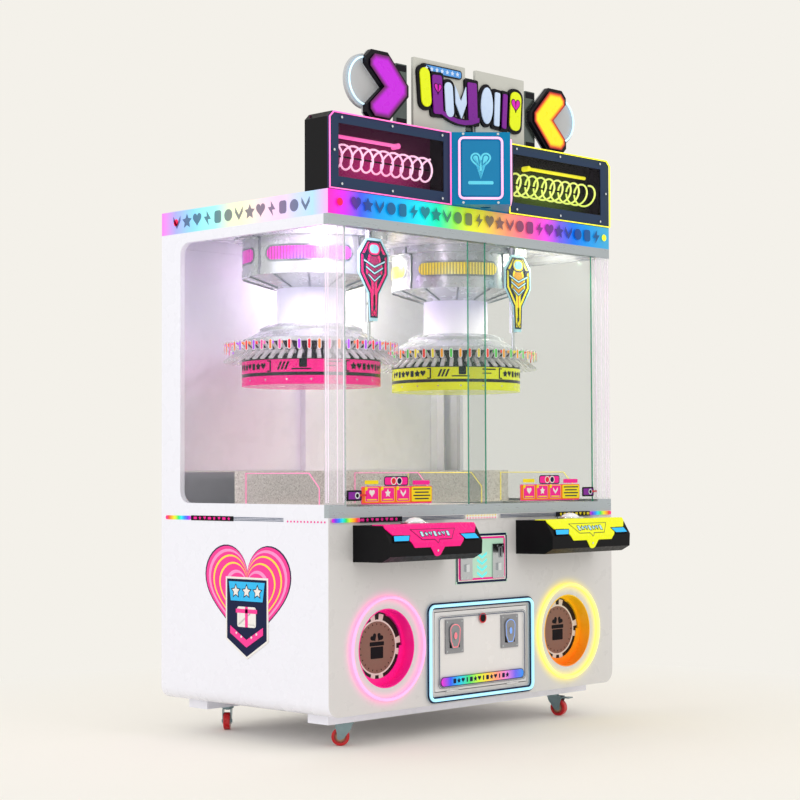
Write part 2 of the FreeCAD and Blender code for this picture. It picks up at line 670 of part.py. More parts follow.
def prize_chute():
    """Right-hand sheet chute: a funnel under the drop opening and a bin with a sloping floor."""
    front = FRONT + SLEEVE_DEPTH
    rear = front + BIN_DEPTH
    left, right = OUTLET_X - BIN_HALF_W, OUTLET_X + BIN_HALF_W

    def rect(x0, x1, y0, y1, z):
        ring = [V(x0, y0, z), V(x1, y0, z), V(x1, y1, z), V(x0, y1, z)]
        return Part.makePolygon(ring + ring[:1])

    top_z = DECK_TOP - SHEET
    y0, y1 = FRONT + DROP_FRONT, FRONT + DROP_REAR
    t = SHEET
    outer = Part.makeLoft([rect(DROP_INNER_X - t, DROP_OUTER_X + t, y0 - t, y1 + t, top_z),
                           rect(left, right, front, rear, BIN_TOP)], True, True)
    inner = Part.makeLoft([rect(DROP_INNER_X, DROP_OUTER_X, y0, y1, top_z),
                           rect(left + t, right - t, front + t, rear - t, BIN_TOP)], True, True)
    funnel = outer.cut(inner)
    body = prism_x([(front, BIN_FLOOR_FRONT), (rear, BIN_FLOOR_REAR), (rear, BIN_TOP), (front, BIN_TOP)], left, right)
    hollow = prism_x([(front + t, BIN_FLOOR_FRONT + t), (rear - t, BIN_FLOOR_REAR + t),
                      (rear - t, BIN_TOP), (front + t, BIN_TOP)], left + t, right - t)
    mouth = cylinder(STEP_INNER_R + 2, (OUTLET_X, front, OUTLET_Z), (0, 1, 0), t)
    return funnel.fuse(body.cut(hollow)).cut(mouth).removeSplitter()


def outlet_sleeve():
    """Stepped round sleeve in the front sheet, with its back flange, flap stop and hinge pin."""
    x, z = OUTLET_X, OUTLET_Z
    bore = SLEEVE_R - SLEEVE_WALL
    sleeve = tube(SLEEVE_R, bore, (x, FRONT, z), (0, 1, 0), SLEEVE_DEPTH)
    flange = tube(SLEEVE_FLANGE_R, bore, (x, FRONT + SHEET, z), (0, 1, 0), 3.0)
    step_y = FRONT + SLEEVE_DEPTH - STEP_T
    step = tube(SLEEVE_R, STEP_INNER_R, (x, step_y, z), (0, 1, 0), STEP_T)
    stop = tube(SLEEVE_R, STOP_INNER_R, (x, step_y - 4.0, z), (0, 1, 0), 3.0)
    stop = stop.common(box(x - SLEEVE_R, x + SLEEVE_R, step_y - 4.0, step_y, z - SLEEVE_R, z))
    stop = stop.fuse(tube(SLEEVE_R, STEP_INNER_R, (x, step_y - 1.0, z), (0, 1, 0), 1.0))
    reach = math.sqrt(STEP_INNER_R ** 2 - FLAP_HINGE_RISE ** 2) + 6.0
    pin = cylinder(FLAP_PIN_R, (x - reach, FLAP_Y, FLAP_Z), (1, 0, 0), 2 * reach)
    return fuse_all([sleeve, flange, step, stop, pin])


def prize_flap(side):
    """Round flap that hangs on the sleeve's pin and is pushed inwards."""
    x = side * OUTLET_X
    disc = cylinder(FLAP_R, (x, FLAP_Y - FLAP_T / 2, OUTLET_Z), (0, 1, 0), FLAP_T)
    return disc.cut(cylinder(FLAP_PIN_R + RUN_FIT, (x - FLAP_R, FLAP_Y, FLAP_Z), (1, 0, 0), 2 * FLAP_R))


# ---------------------------------------------------------------- door and coin gear
def service_door():
    """Folded door sheet with its hinge knuckles, lock hole and cut-outs for the return cups."""
    half = DOOR_W / 2
    deep = FRONT + SHEET + DOOR_FLANGE
    pan = box(-half, half, FRONT, deep, DOOR_BOTTOM, DOOR_TOP)
    pan = pan.cut(box(-half + SHEET, half - SHEET, FRONT + SHEET, deep, DOOR_BOTTOM + SHEET, DOOR_TOP - SHEET))
    pan = pan.cut(cylinder(LOCK_BARREL_R + RUN_FIT, (0, FRONT, LOCK_Z), (0, 1, 0), SHEET))
    w, h = RETURN_PLATE_W / 2 - 15, RETURN_PLATE_H / 2 - 15
    for side in (-1, 1):
        x = side * RETURN_PLATE_X
        pan = pan.cut(box(x - w, x + w, FRONT, FRONT + SHEET, RETURN_PLATE_Z - h, RETURN_PLATE_Z + h))
    return fuse_all([pan] + hinge_knuckles(True))


def coin_return_plates():
    """Cast plates on the door, each with a pocket behind it that catches a rejected coin."""
    w, h = RETURN_PLATE_W / 2, RETURN_PLATE_H / 2
    x, z = RETURN_PLATE_X, RETURN_PLATE_Z
    plate = box(x - w, x + w, FRONT - RETURN_PLATE_T, FRONT, z - h, z + h)
    cw, ch = w - 16, h - 16
    cup = box(x - cw, x + cw, FRONT, FRONT + RETURN_CUP_DEPTH, z - ch, z + ch)
    wall = 3.0
    hollow = box(x - cw + wall, x + cw - wall, FRONT - RETURN_PLATE_T, FRONT + RETURN_CUP_DEPTH - wall,
                 z - ch + wall, z - ch / 3)
    return both_sides(plate.fuse(cup).cut(hollow))


def door_lock():
    """Cylinder lock through the door, with its cam lying level in the unlocked position."""
    head = cylinder(LOCK_R, (0, FRONT - 4, LOCK_Z), (0, 1, 0), 4 - 0.3)
    cam_y = FRONT + SHEET + DOOR_FLANGE + 1.0
    barrel = cylinder(LOCK_BARREL_R, (0, FRONT - 1, LOCK_Z), (0, 1, 0), cam_y + 3 - FRONT + 1)
    cam = box(-8, CAM_LENGTH, cam_y, cam_y + 3, LOCK_Z - 8, LOCK_Z + 8)
    keyway = box(-1, 1, FRONT - 4, FRONT, LOCK_Z - 5, LOCK_Z + 5)
    return fuse_all([head, barrel, cam]).cut(keyway)


def coin_plate():
    """Printed plate round the two coin acceptors."""
    half = COIN_PLATE_W / 2
    plate = box(-half, half, FRONT - COIN_PLATE_T, FRONT, COIN_PLATE_BOTTOM, COIN_PLATE_TOP)
    w, h = SELECTOR_W / 2 + COIN_PLATE_GAP, SELECTOR_H / 2 + COIN_PLATE_GAP
    for side in (-1, 1):
        x = side * SELECTOR_X
        plate = plate.cut(box(x - w, x + w, FRONT - COIN_PLATE_T, FRONT, SELECTOR_Z - h, SELECTOR_Z + h))
    return plate


def coin_selectors():
    """Coin acceptors: a front plate with a coin slot, and the selector body behind the sheet."""
    x, z = SELECTOR_X, SELECTOR_Z
    plate = box(x - SELECTOR_W / 2, x + SELECTOR_W / 2, FRONT - SELECTOR_T, FRONT,
                z - SELECTOR_H / 2, z + SELECTOR_H / 2)
    w, h = SELECTOR_BODY_W / 2, SELECTOR_BODY_H / 2
    body = box(x - w, x + w, FRONT, FRONT + SELECTOR_BODY_D, z - h, z + h)
    lz = z - LEVER_DROP
    bw, bh = LEVER_W / 2 + LEVER_GAP, LEVER_H / 2 + LEVER_GAP
    bore = box(x - bw, x + bw, FRONT - SELECTOR_T, FRONT + 12, lz - bh, lz + bh)
    slot = box(x + 12, x + 15, FRONT - SELECTOR_T, FRONT + 30, z + 12, z + 42)
    return both_sides(plate.fuse(body).cut(bore).cut(slot))


def coin_lever(side):
    """Coin reject button, pushed in through the selector's plate."""
    x, z = side * SELECTOR_X, SELECTOR_Z - LEVER_DROP
    return box(x - LEVER_W / 2, x + LEVER_W / 2, FRONT - SELECTOR_T - LEVER_STAND, FRONT + 4,
               z - LEVER_H / 2, z + LEVER_H / 2)


def neon_tubes():
    """Light tubes: the two outlet rings, the door frame, and the coiled tubes inside the marquee."""
    solids = []
    for side in (-1, 1):
        x = side * OUTLET_X
        ring = Part.makeTorus(NEON_RING_R, NEON_TUBE_R, V(x, FRONT - NEON_BASE_T, OUTLET_Z), V(0, 1, 0))
        base = tube(NEON_RING_R + 4, NEON_RING_R - 4, (x, FRONT - NEON_BASE_T, OUTLET_Z), (0, 1, 0), NEON_BASE_T)
        front_half = box(x - 2 * NEON_RING_R, x + 2 * NEON_RING_R, FRONT - 3 * NEON_BASE_T, FRONT,
                         OUTLET_Z - 2 * NEON_RING_R, OUTLET_Z + 2 * NEON_RING_R)
        solids.append(ring.fuse(base).common(front_half))
    y0 = FRONT - DOOR_NEON_T
    outer = rounded_rect_y(DOOR_NEON_W / 2, DOOR_NEON_BOTTOM, DOOR_NEON_TOP, DOOR_NEON_CORNER_R, y0, FRONT)
    band = DOOR_NEON_BAND
    inner = rounded_rect_y(DOOR_NEON_W / 2 - band, DOOR_NEON_BOTTOM + band, DOOR_NEON_TOP - band,
                           DOOR_NEON_CORNER_R - band + 4, y0, FRONT)
    solids.append(outer.cut(inner))
    coil = light_coil()
    solids += [coil, mirror_x(coil)]
    return Part.makeCompound(solids)


def light_coil():
    """Turns of light tube along a carrier rod that spans the right-hand marquee box."""
    x0, x1 = MARQUEE_INNER_X + MARQUEE_WALL, HALF_W - MARQUEE_WALL
    y = FRONT + MARQUEE_DEPTH / 2
    z = (MARQUEE_WINDOW_BOTTOM + MARQUEE_WINDOW_TOP) / 2
    rod = cylinder(COIL_ROD_R, (x0, y, z + COIL_R), (1, 0, 0), x1 - x0)
    pitch = (MARQUEE_WINDOW_OUTER_X - MARQUEE_WINDOW_INNER_X) / COIL_TURNS
    turns = [Part.makeTorus(COIL_R, COIL_TUBE_R, V(MARQUEE_WINDOW_INNER_X + (i + 0.5) * pitch, y, z), V(1, 0, 0))
             for i in range(COIL_TURNS)]
    return fuse_all([rod] + turns)


# ---------------------------------------------------------------- consoles
def console_points(section):
    return [(FRONT - out, CONSOLE_TOP + rise) for out, rise in section]


def console_shell():
    """Right-hand console: a hollow faceted box, open at the back inside its bolting lip."""
    x0, x1 = CONSOLE_X - CONSOLE_W / 2, CONSOLE_X + CONSOLE_W / 2
    outline = console_points(CONSOLE_SECTION)
    shell = prism_x(outline, x0, x1).cut(prism_x(inset(outline, CONSOLE_WALL), x0 + CONSOLE_WALL, x1 - CONSOLE_WALL))
    low, high = CONSOLE_TOP + CONSOLE_SECTION[-1][1], CONSOLE_TOP
    lip = CONSOLE_LIP
    shell = shell.cut(box(x0 + lip, x1 - lip, FRONT - CONSOLE_WALL, FRONT, low + lip, high - lip))
    hole = cylinder(BUTTON_R + RUN_FIT, (CONSOLE_X, FRONT - BUTTON_OUT, CONSOLE_TOP - 2 * CONSOLE_WALL), (0, 0, 1),
                    3 * CONSOLE_WALL)
    return shell.cut(hole)


def faceplate_outline():
    """Front view of the coloured plate: full width above, narrowing to a pointed crest."""
    half = CONSOLE_W / 2 - 4
    return [(-half, 0), (half, 0), (half, -52), (half - 70, -52), (half - 116, -92), (36, -92), (16, -116),
            (-16, -116), (-36, -92), (-half + 116, -92), (-half + 70, -52), (-half, -52)]


def console_faceplate():
    """Folded plate that follows the two upper facets of the console."""
    outline = console_points(CONSOLE_SECTION)
    x0, x1 = CONSOLE_X - CONSOLE_W / 2, CONSOLE_X + CONSOLE_W / 2
    band = prism_x(inset(outline, -FACEPLATE_T), x0, x1).cut(prism_x(outline, x0 - 1, x1 + 1))
    crest = [(CONSOLE_X + x, CONSOLE_TOP + z) for x, z in faceplate_outline()]
    front = FRONT - CONSOLE_SECTION[1][0]
    plate = band.common(prism_y(crest, FRONT - CONSOLE_REACH - 5, front))
    return max(plate.Solids, key=lambda s: s.Volume)


def button(side):
    """Domed player button with its guide skirt and retaining flange."""
    x, y = side * CONSOLE_X, FRONT - BUTTON_OUT
    base = CONSOLE_TOP + 2.0
    rise = BUTTON_RISE - 2.0
    ball = (BUTTON_R ** 2 + rise ** 2) / (2 * rise)
    sphere = Part.makeSphere(ball, V(x, y, base + rise - ball))
    dome = sphere.common(cylinder(BUTTON_R, (x, y, base), (0, 0, 1), rise))
    skirt = cylinder(BUTTON_R, (x, y, base - BUTTON_SKIRT), (0, 0, 1), BUTTON_SKIRT)
    flange_top = CONSOLE_TOP - CONSOLE_WALL - 0.3
    flange = cylinder(BUTTON_R + BUTTON_FLANGE, (x, y, base - BUTTON_SKIRT), (0, 0, 1),
                      flange_top - base + BUTTON_SKIRT)
    return fuse_all([dome, skirt, flange])


# ---------------------------------------------------------------- turrets
def turret_canopy():
    """Housing under the ceiling: flange, drum-shaped body, lip and the cone that runs in to the column."""
    w = CANOPY_WALL
    z_flange = CEILING - CANOPY_FLANGE_H
    z_lip_top = z_flange - CANOPY_BODY_H
    z_lip = z_lip_top - CANOPY_LIP_H
    z_cone = z_lip - CANOPY_CONE_H
    throat = COLUMN_R + PANE_CLEARANCE
    outline = [(throat, z_cone), (CANOPY_LIP_R, z_lip), (CANOPY_LIP_R, z_lip_top), (CANOPY_R, z_lip_top),
               (CANOPY_R, z_flange), (CANOPY_FLANGE_R, z_flange), (CANOPY_FLANGE_R, CEILING),
               (CANOPY_FLANGE_R - w, CEILING), (CANOPY_FLANGE_R - w, z_flange + w), (CANOPY_R - w, z_flange + w),
               (CANOPY_R - w, z_lip + w), (throat, z_cone + w)]
    return revolve(outline, TURRET_X, TURRET_Y)


def turret_column():
    """Fixed column with its lower shaft, thrust flange and motor plate, on which the drum turns."""
    x, y = TURRET_X, TURRET_Y
    cap_bottom = SKIRT_TOP - SKIRT_WALL - 6.0
    outline = [(0, MOTOR_PLATE_TOP - MOTOR_PLATE_T), (SHAFT_R, MOTOR_PLATE_TOP - MOTOR_PLATE_T),
               (SHAFT_R, THRUST_TOP - THRUST_T), (THRUST_R, THRUST_TOP - THRUST_T), (THRUST_R, THRUST_TOP),
               (SHAFT_R, THRUST_TOP), (SHAFT_R, cap_bottom), (COLUMN_R + 10, cap_bottom),
               (COLUMN_R + 10, cap_bottom + 6.0), (COLUMN_R, cap_bottom + 6.0), (COLUMN_R, CEILING),
               (COLUMN_R - COLUMN_WALL, CEILING), (COLUMN_R - COLUMN_WALL, cap_bottom + 6.0),
               (SHAFT_R - COLUMN_WALL, cap_bottom + 6.0), (SHAFT_R - COLUMN_WALL, MOTOR_PLATE_TOP), (0, MOTOR_PLATE_TOP)]
    column = revolve(outline, x, y)
    arm = box(x - MOTOR_PLATE_W / 2, x + MOTOR_PLATE_W / 2, y, y + PINION_OFFSET + MOTOR_R,
              MOTOR_PLATE_TOP - MOTOR_PLATE_T, MOTOR_PLATE_TOP)
    hole = cylinder(PINION_SHAFT_R + RUN_FIT, (x, y + PINION_OFFSET, MOTOR_PLATE_TOP - 2 * MOTOR_PLATE_T), (0, 0, 1),
                    3 * MOTOR_PLATE_T)
    return column.fuse(arm).cut(hole).removeSplitter()


def turret_skirt():
    """Stepped bell above the clips, carried on the column's collar."""
    w = SKIRT_WALL
    bore = COLUMN_R + PANE_CLEARANCE
    outline = [(SKIRT_R, SKIRT_BOTTOM), (SKIRT_R, SKIRT_BOTTOM + 14), (SKIRT_STEP_R, SKIRT_TOP - 22),
               (SKIRT_STEP_R, SKIRT_TOP - 12), (SKIRT_TOP_R, SKIRT_TOP), (bore, SKIRT_TOP),
               (bore, SKIRT_TOP - w), (SKIRT_TOP_R - w, SKIRT_TOP - w), (SKIRT_STEP_R - w, SKIRT_TOP - 12 - w),
               (SKIRT_STEP_R - w, SKIRT_TOP - 22 - w), (SKIRT_R - w, SKIRT_BOTTOM + 14 - w), (SKIRT_R - w, SKIRT_BOTTOM)]
    return revolve(outline, TURRET_X, TURRET_Y)


def gear_outline(teeth, pitch_r, tip, root, centre, phase, width=0.42):
    """Points of a straight-flanked gear; tip and root are radial offsets from the pitch circle."""
    points = []
    step = 2 * math.pi / teeth
    for i in range(teeth):
        middle = phase + i * step
        for offset, radius in ((-0.5 * width - 0.12, root), (-0.5 * width + 0.10, tip),
                               (0.5 * width - 0.10, tip), (0.5 * width + 0.12, root)):
            angle = middle + offset * step
            points.append((centre[0] + (pitch_r + radius) * math.cos(angle),
                           centre[1] + (pitch_r + radius) * math.sin(angle)))
    return points


def drum(side):
    """Turning drum: rim, shouldered collar, top and bottom plates, and the internal ring gear."""
    x, y = side * TURRET_X, TURRET_Y
    w = DRUM_WALL
    hub = SHAFT_R + RUN_FIT
    outline = [(0, DRUM_BOTTOM), (DRUM_R, DRUM_BOTTOM), (DRUM_R, DRUM_SHOULDER), (COLLAR_R, DRUM_SHOULDER),
               (COLLAR_R, DRUM_TOP), (hub, DRUM_TOP), (hub, DRUM_TOP - w), (COLLAR_R - w, DRUM_TOP - w),
               (COLLAR_R - w, DRUM_SHOULDER - w), (COLLAR_R - w, DRUM_BOTTOM + w), (0, DRUM_BOTTOM + w)]
    shell = revolve(outline, x, y)
    m = GEAR_MODULE
    teeth_gap = gear_outline(RING_TEETH, RING_PITCH_R, m * 1.2, -m * 0.9, (x, y), math.pi / 2, 0.58)
    bore = prism([(px, py, GEAR_BOTTOM) for px, py in teeth_gap], (0, 0, GEAR_T))
    ring = cylinder(COLLAR_R - w / 2, (x, y, GEAR_BOTTOM), (0, 0, 1), GEAR_T).cut(bore)
    return shell.fuse(ring)


def pinion(side):
    """Drive pinion with its shaft, meshing inside the ring gear."""
    x, y = side * TURRET_X, TURRET_Y + PINION_OFFSET
    m = GEAR_MODULE
    outline = gear_outline(PINION_TEETH, PINION_PITCH_R, m * 0.85, -m * 1.15, (x, y), math.pi / 2, 0.42)
    gear = prism([(px, py, GEAR_BOTTOM) for px, py in outline], (0, 0, GEAR_T))
    bottom = MOTOR_PLATE_TOP - MOTOR_PLATE_T - PINION_SHAFT_DEPTH + 5
    shaft = cylinder(PINION_SHAFT_R, (x, y, bottom), (0, 0, 1), GEAR_BOTTOM + GEAR_T - bottom)
    return gear.fuse(shaft)


def drive_motor():
    """Gear motor hanging under the motor plate inside the drum."""
    x, y = TURRET_X, TURRET_Y + PINION_OFFSET
    top = MOTOR_PLATE_TOP - MOTOR_PLATE_T
    body = cylinder(MOTOR_R, (x, y, top - MOTOR_H), (0, 0, 1), MOTOR_H)
    return body.cut(cylinder(PINION_SHAFT_R + RUN_FIT, (x, y, top - PINION_SHAFT_DEPTH), (0, 0, 1), PINION_SHAFT_DEPTH))


# ---------------------------------------------------------------- clips and pokers
def lever_outline(rise):
    """One clip lever in (r, z): jaw end by the collar, tail end outside; rise is +1 upper, -1 lower."""
    pivot_r, pivot_z = CLIP_PIVOT
    tail_r = COLLAR_R + CLIP_REACH
    t = CLIP_TAIL_T / 2
    tail_z = pivot_z + rise * CLIP_TAIL_RISE
    jaw_r = COLLAR_R + 7.0
    near, far = pivot_z + rise * 1.0, pivot_z + rise * (1.0 + CLIP_TAIL_T)
    return [(jaw_r, near), (pivot_r + 4, near), (tail_r, tail_z - rise * 2 * t), (tail_r, tail_z),
            (tail_r - 4, tail_z), (pivot_r - 2, far), (jaw_r, far)]


def place_radial(points_rz, width, x, y, angle):
    """Extrude an (r, z) outline across its thickness and stand it at an angle round the turret."""
    solid = prism_y([(r, z) for r, z in points_rz], -width / 2, width / 2)
    solid.rotate(V(0, 0, 0), V(0, 0, 1), math.degrees(angle))
    solid.translate(V(x, y, 0))
    return solid


def clip_base():
    """Foot of a clip: stands on the drum's shoulder against the collar, up to the pivot."""
    pivot_r, pivot_z = CLIP_PIVOT
    inner = COLLAR_R + 0.3
    return [(inner, DRUM_SHOULDER), (DRUM_R, DRUM_SHOULDER), (pivot_r + 6, pivot_z - 7), (pivot_r + 6, pivot_z - 1),
            (inner, pivot_z - 1)]


def clips(side):
    """All the clips of one carousel; the one under the poker has its upper lever in a node of its own."""
    x, y = side * TURRET_X, TURRET_Y
    pivot_r, pivot_z = CLIP_PIVOT
    spine = [(pivot_r - 4, pivot_z - 4), (pivot_r + 4, pivot_z - 4), (pivot_r + 4, pivot_z + 4),
             (pivot_r - 4, pivot_z + 4)]
    solids = []
    lower = fuse_all([place_radial(clip_base(), CLIP_W, 0, 0, 0), place_radial(lever_outline(-1), CLIP_W, 0, 0, 0)])
    whole = fuse_all([lower, place_radial(spine, CLIP_INNER_W, 0, 0, 0),
                      place_radial(lever_outline(1), CLIP_INNER_W, 0, 0, 0)])
    ear = [(pivot_r - 4, pivot_z - 3), (pivot_r + 4, pivot_z - 3), (pivot_r + 4, pivot_z + 5), (pivot_r - 4, pivot_z + 5)]
    gap = CLIP_INNER_W / 2 + 0.3
    ears = [prism_y(ear, s * gap, s * CLIP_W / 2) for s in (-1, 1)]
    pin = cylinder(CLIP_PIN_R, (pivot_r, -CLIP_W / 2, pivot_z + 1.5), (0, 1, 0), CLIP_W)
    first = fuse_all([lower] + ears + [pin])
    for i in range(CLIP_COUNT):
        solid = (first if i == 0 else whole).copy()
        solid.rotate(V(0, 0, 0), V(0, 0, 1), -90 + i * 360.0 / CLIP_COUNT)
        solid.translate(V(x, y, 0))
        solids.append(solid)
    return Part.makeCompound(solids)


def front_clip(side):
    """Upper lever of the clip under the poker, free to turn on its pin."""
    pivot_r, pivot_z = CLIP_PIVOT
    lever = place_radial(lever_outline(1), CLIP_INNER_W, 0, 0, 0)
    boss = cylinder(CLIP_BOSS_R, (pivot_r, -CLIP_INNER_W / 2, pivot_z + 1.5), (0, 1, 0), CLIP_INNER_W)
    lever = lever.fuse(boss)
    lever = lever.cut(cylinder(CLIP_PIN_R + RUN_FIT, (pivot_r, -CLIP_W, pivot_z + 1.5), (0, 1, 0), 2 * CLIP_W))
    lever.rotate(V(0, 0, 0), V(0, 0, 1), -90)
    lever.translate(V(side * TURRET_X, TURRET_Y, 0))
    return lever


def poker(side):
    """Rod that comes down on a clip's tail, with a softer tip."""
    x, y = side * TURRET_X, TURRET_Y - POKER_R_POS
    return cylinder(POKER_R, (x, y, POKER_TIP), (0, 0, 1), POKER_LENGTH)


def poker_housing():
    """Guide tube of the poker rod, hung from the ceiling in front of the canopy."""
    x, y = TURRET_X, TURRET_Y - POKER_R_POS
    z0 = DRUM_SHOULDER + POKER_HOUSING_RISE
    body = cylinder(POKER_HOUSING_R, (x, y, z0), (0, 0, 1), CEILING - z0)
    flange = box(x - POKER_FLANGE_W / 2, x + POKER_FLANGE_W / 2, y - POKER_FLANGE_W / 2, y + POKER_HOUSING_R,
                 CEILING - POKER_FLANGE_T, CEILING)
    bore = cylinder(POKER_R + RUN_FIT, (x, y, z0), (0, 0, 1), POKER_LENGTH)
    arms = [box(x - 20, x + 20, y - POKER_HOUSING_R - PENDANT_ARM / 2, y - POKER_HOUSING_R + 4, z - 4, z + 4)
            for z in (PENDANT_BOTTOM + 60, PENDANT_BOTTOM + PENDANT_H - 60)]
    return fuse_all([body, flange] + arms).cut(bore)


def poker_pendant():
    """Decorative plate that hides the poker, on two arms in front of the guide tube."""
    x, y = TURRET_X, TURRET_Y - POKER_R_POS - POKER_HOUSING_R - PENDANT_ARM / 2
    z0, z1 = PENDANT_BOTTOM, PENDANT_BOTTOM + PENDANT_H
    w = PENDANT_W / 2
    middle = (z0 + z1) / 2 + 20
    outline = [(-18, z0), (18, z0), (24, z0 + 90), (w, middle), (w, z1 - 50), (w - 40, z1), (-w + 40, z1),
               (-w, z1 - 50), (-w, middle), (-24, z0 + 90)]
    return prism_y([(x + px, z) for px, z in outline], y - PENDANT_T, y)


# ---------------------------------------------------------------- marquee and sign
def marquee_box():
    """Right-hand light box: folded shell with a window in its front wall."""
    c = MARQUEE_CHAMFER
    w = MARQUEE_WALL
    x0, x1, z0, z1 = MARQUEE_INNER_X, HALF_W, CABINET_TOP, MARQUEE_TOP
    outline = [(x0, z0), (x1, z0), (x1, z1 - c), (x1 - c, z1), (x0, z1)]
    rear = FRONT + MARQUEE_DEPTH
    shell = prism_y(outline, FRONT, rear).cut(prism_y(inset(outline, w), FRONT + w, rear - w))
    return shell.cut(box(MARQUEE_WINDOW_INNER_X, MARQUEE_WINDOW_OUTER_X, FRONT, FRONT + w,
                         MARQUEE_WINDOW_BOTTOM, MARQUEE_WINDOW_TOP))


def marquee_pod():
    """Centre pod between the light boxes: a wedge with two glowing faces."""
    z0, z1 = CABINET_TOP + POD_LIFT, MARQUEE_TOP
    x = MARQUEE_INNER_X
    plan = [(-x, FRONT), (0, FRONT - POD_REACH), (x, FRONT), (x, FRONT + POD_TAIL), (-x, FRONT + POD_TAIL)]
    w = MARQUEE_WALL
    shell = prism([(px, py, z0) for px, py in plan], (0, 0, z1 - z0))
    hollow = prism([(px, py, z0 + w) for px, py in inset(plan, w)], (0, 0, z1 - z0 - 2 * w))
    cable_hole = cylinder(20.0, (0, FRONT - 30, z0), (0, 0, 1), w)
    foot = box(-x, x, FRONT + 2, FRONT + POD_TAIL, CABINET_TOP, z0)
    return shell.cut(hollow).cut(cable_hole).fuse(foot)


def marquee_windows():
    """Clear panes behind the light boxes' window openings."""
    lap = MARQUEE_PANE_LAP
    y = FRONT + MARQUEE_WALL
    return both_sides(box(MARQUEE_WINDOW_INNER_X - lap, MARQUEE_WINDOW_OUTER_X + lap, y, y + MARQUEE_PANE_T,
                          MARQUEE_WINDOW_BOTTOM - lap, MARQUEE_WINDOW_TOP + lap))


def sign_board():
    """Sign: three posts, the back board and the contour board in front of it."""
    solids = []
    for x, z0 in ((-POST_X, MARQUEE_TOP), (0.0, CABINET_TOP), (POST_X, MARQUEE_TOP)):
        solids.append(box(x - POST_W / 2, x + POST_W / 2, SIGN_Y, SIGN_Y + POST_T, z0, POST_TOP))
    solids.append(box(-SIGN_HALF_W, SIGN_HALF_W, SIGN_Y - SIGN_T, SIGN_Y, SIGN_BOTTOM, SIGN_TOP))
    solids.append(rounded_rect_y(TITLE_HALF_W, TITLE_BOTTOM, TITLE_TOP, 40.0, SIGN_Y - SIGN_T - TITLE_T, SIGN_Y - SIGN_T))
    return Part.makeCompound(solids)


def sign_emblem():
    """Right-hand arrow emblem: a thick chevron pointing to the title, notched on its outer side."""
    x0, x1 = EMBLEM_INNER_X, EMBLEM_INNER_X + EMBLEM_W
    z, h = EMBLEM_Z, EMBLEM_HALF_H
    blunt = EMBLEM_TIP / 2
    slope = h - blunt
    outline = [(x0, z - blunt), (x0, z + blunt), (x0 + slope, z + h), (x1 - 25, z + h), (x1, z + h - 25),
               (x1, z + 72), (x0 + EMBLEM_NOTCH, z), (x1, z - 72), (x1, z - h + 25), (x1 - 25, z - h),
               (x0 + slope, z - h)]
    return prism_y(outline, SIGN_Y - EMBLEM_T, SIGN_Y)


def sign_emblems():
    """Two arrow emblems and the two round discs behind them."""
    disc = cylinder(DISC_R, (DISC_X, SIGN_Y, DISC_Z), (0, 1, 0), DISC_T)
    emblem = sign_emblem()
    return Part.makeCompound([emblem, mirror_x(emblem), disc, mirror_x(disc)])


# ---------------------------------------------------------------- casters
CASTERS = {"front_left": (-1, 0, 134.0), "front_right": (1, 0, -79.0),
           "rear_left": (-1, 1, -136.0), "rear_right": (1, 1, 60.0)}
BRAKED = ("front_right",)


def caster_place(name):
    """Swivel axis of a caster."""
    side, row, heading = CASTERS[name]
    return side * CASTER_X, BEAM_YS[row]


def set_heading(shape, name):
    """Turn a caster piece, drawn trailing along +Y at the origin, to its resting heading under its plate."""
    x, y = caster_place(name)
    shape.rotate(V(0, 0, 0), V(0, 0, 1), CASTERS[name][2] - 90)
    shape.translate(V(x, y, 0))
    return shape


def caster_plates():
    """Four top plates with the swivel race and kingpin."""
    solids = []
    for name in CASTERS:
        x, y = caster_place(name)
        half = CASTER_PLATE / 2
        race_bottom = CASTER_HEIGHT - CASTER_PLATE_T - RACE_H
        plate = box(x - half, x + half, y - half, y + half, CASTER_HEIGHT - CASTER_PLATE_T, CASTER_HEIGHT)
        race = cylinder(RACE_R, (x, y, race_bottom), (0, 0, 1), RACE_H)
        head_top = race_bottom - FORK_T - 2 * CASTER_RUN_GAP
        pin = cylinder(KINGPIN_R, (x, y, head_top), (0, 0, 1), race_bottom - head_top)
        head = cylinder(KINGPIN_HEAD_R, (x, y, head_top - KINGPIN_HEAD_T), (0, 0, 1), KINGPIN_HEAD_T)
        solids.append(fuse_all([plate, race, pin, head]))
    return Part.makeCompound(solids)


def caster_fork(name):
    """Swivelling fork: top web, two legs, the fixed axle and, on a braked caster, the pedal's pin."""
    top = CASTER_HEIGHT - CASTER_PLATE_T - RACE_H - CASTER_RUN_GAP
    inner = WHEEL_W / 2 + FORK_GAP
    outer = inner + FORK_T
    ay = CASTER_TRAIL
    w = FORK_LEG_W / 2
    web = box(-outer, outer, -18, ay - 2, top - FORK_T, top)
    leg = [(-18, top), (ay + w + 6, top), (ay + w + 6, PEDAL_PIN_Z - 6), (ay + w, WHEEL_R + 10),
           (ay + w, WHEEL_R - 6), (ay + 4, WHEEL_R - 11), (ay - w, WHEEL_R - 6), (-12, top - 18)]
    legs = [prism_x(leg, s * inner, s * outer) for s in (-1, 1)]
    axle = cylinder(AXLE_R, (-outer - 3, ay, WHEEL_R), (1, 0, 0), 2 * outer + 6)
    pieces = [web, axle] + legs
    if name in BRAKED:
        pieces.append(cylinder(PEDAL_PIN_R, (-outer, ay + PEDAL_PIN_OUT, PEDAL_PIN_Z), (1, 0, 0), 2 * outer))
    fork = fuse_all(pieces)
    return set_heading(fork.cut(cylinder(KINGPIN_R + RUN_FIT, (0, 0, top - 2 * FORK_T), (0, 0, 1), 3 * FORK_T)), name)


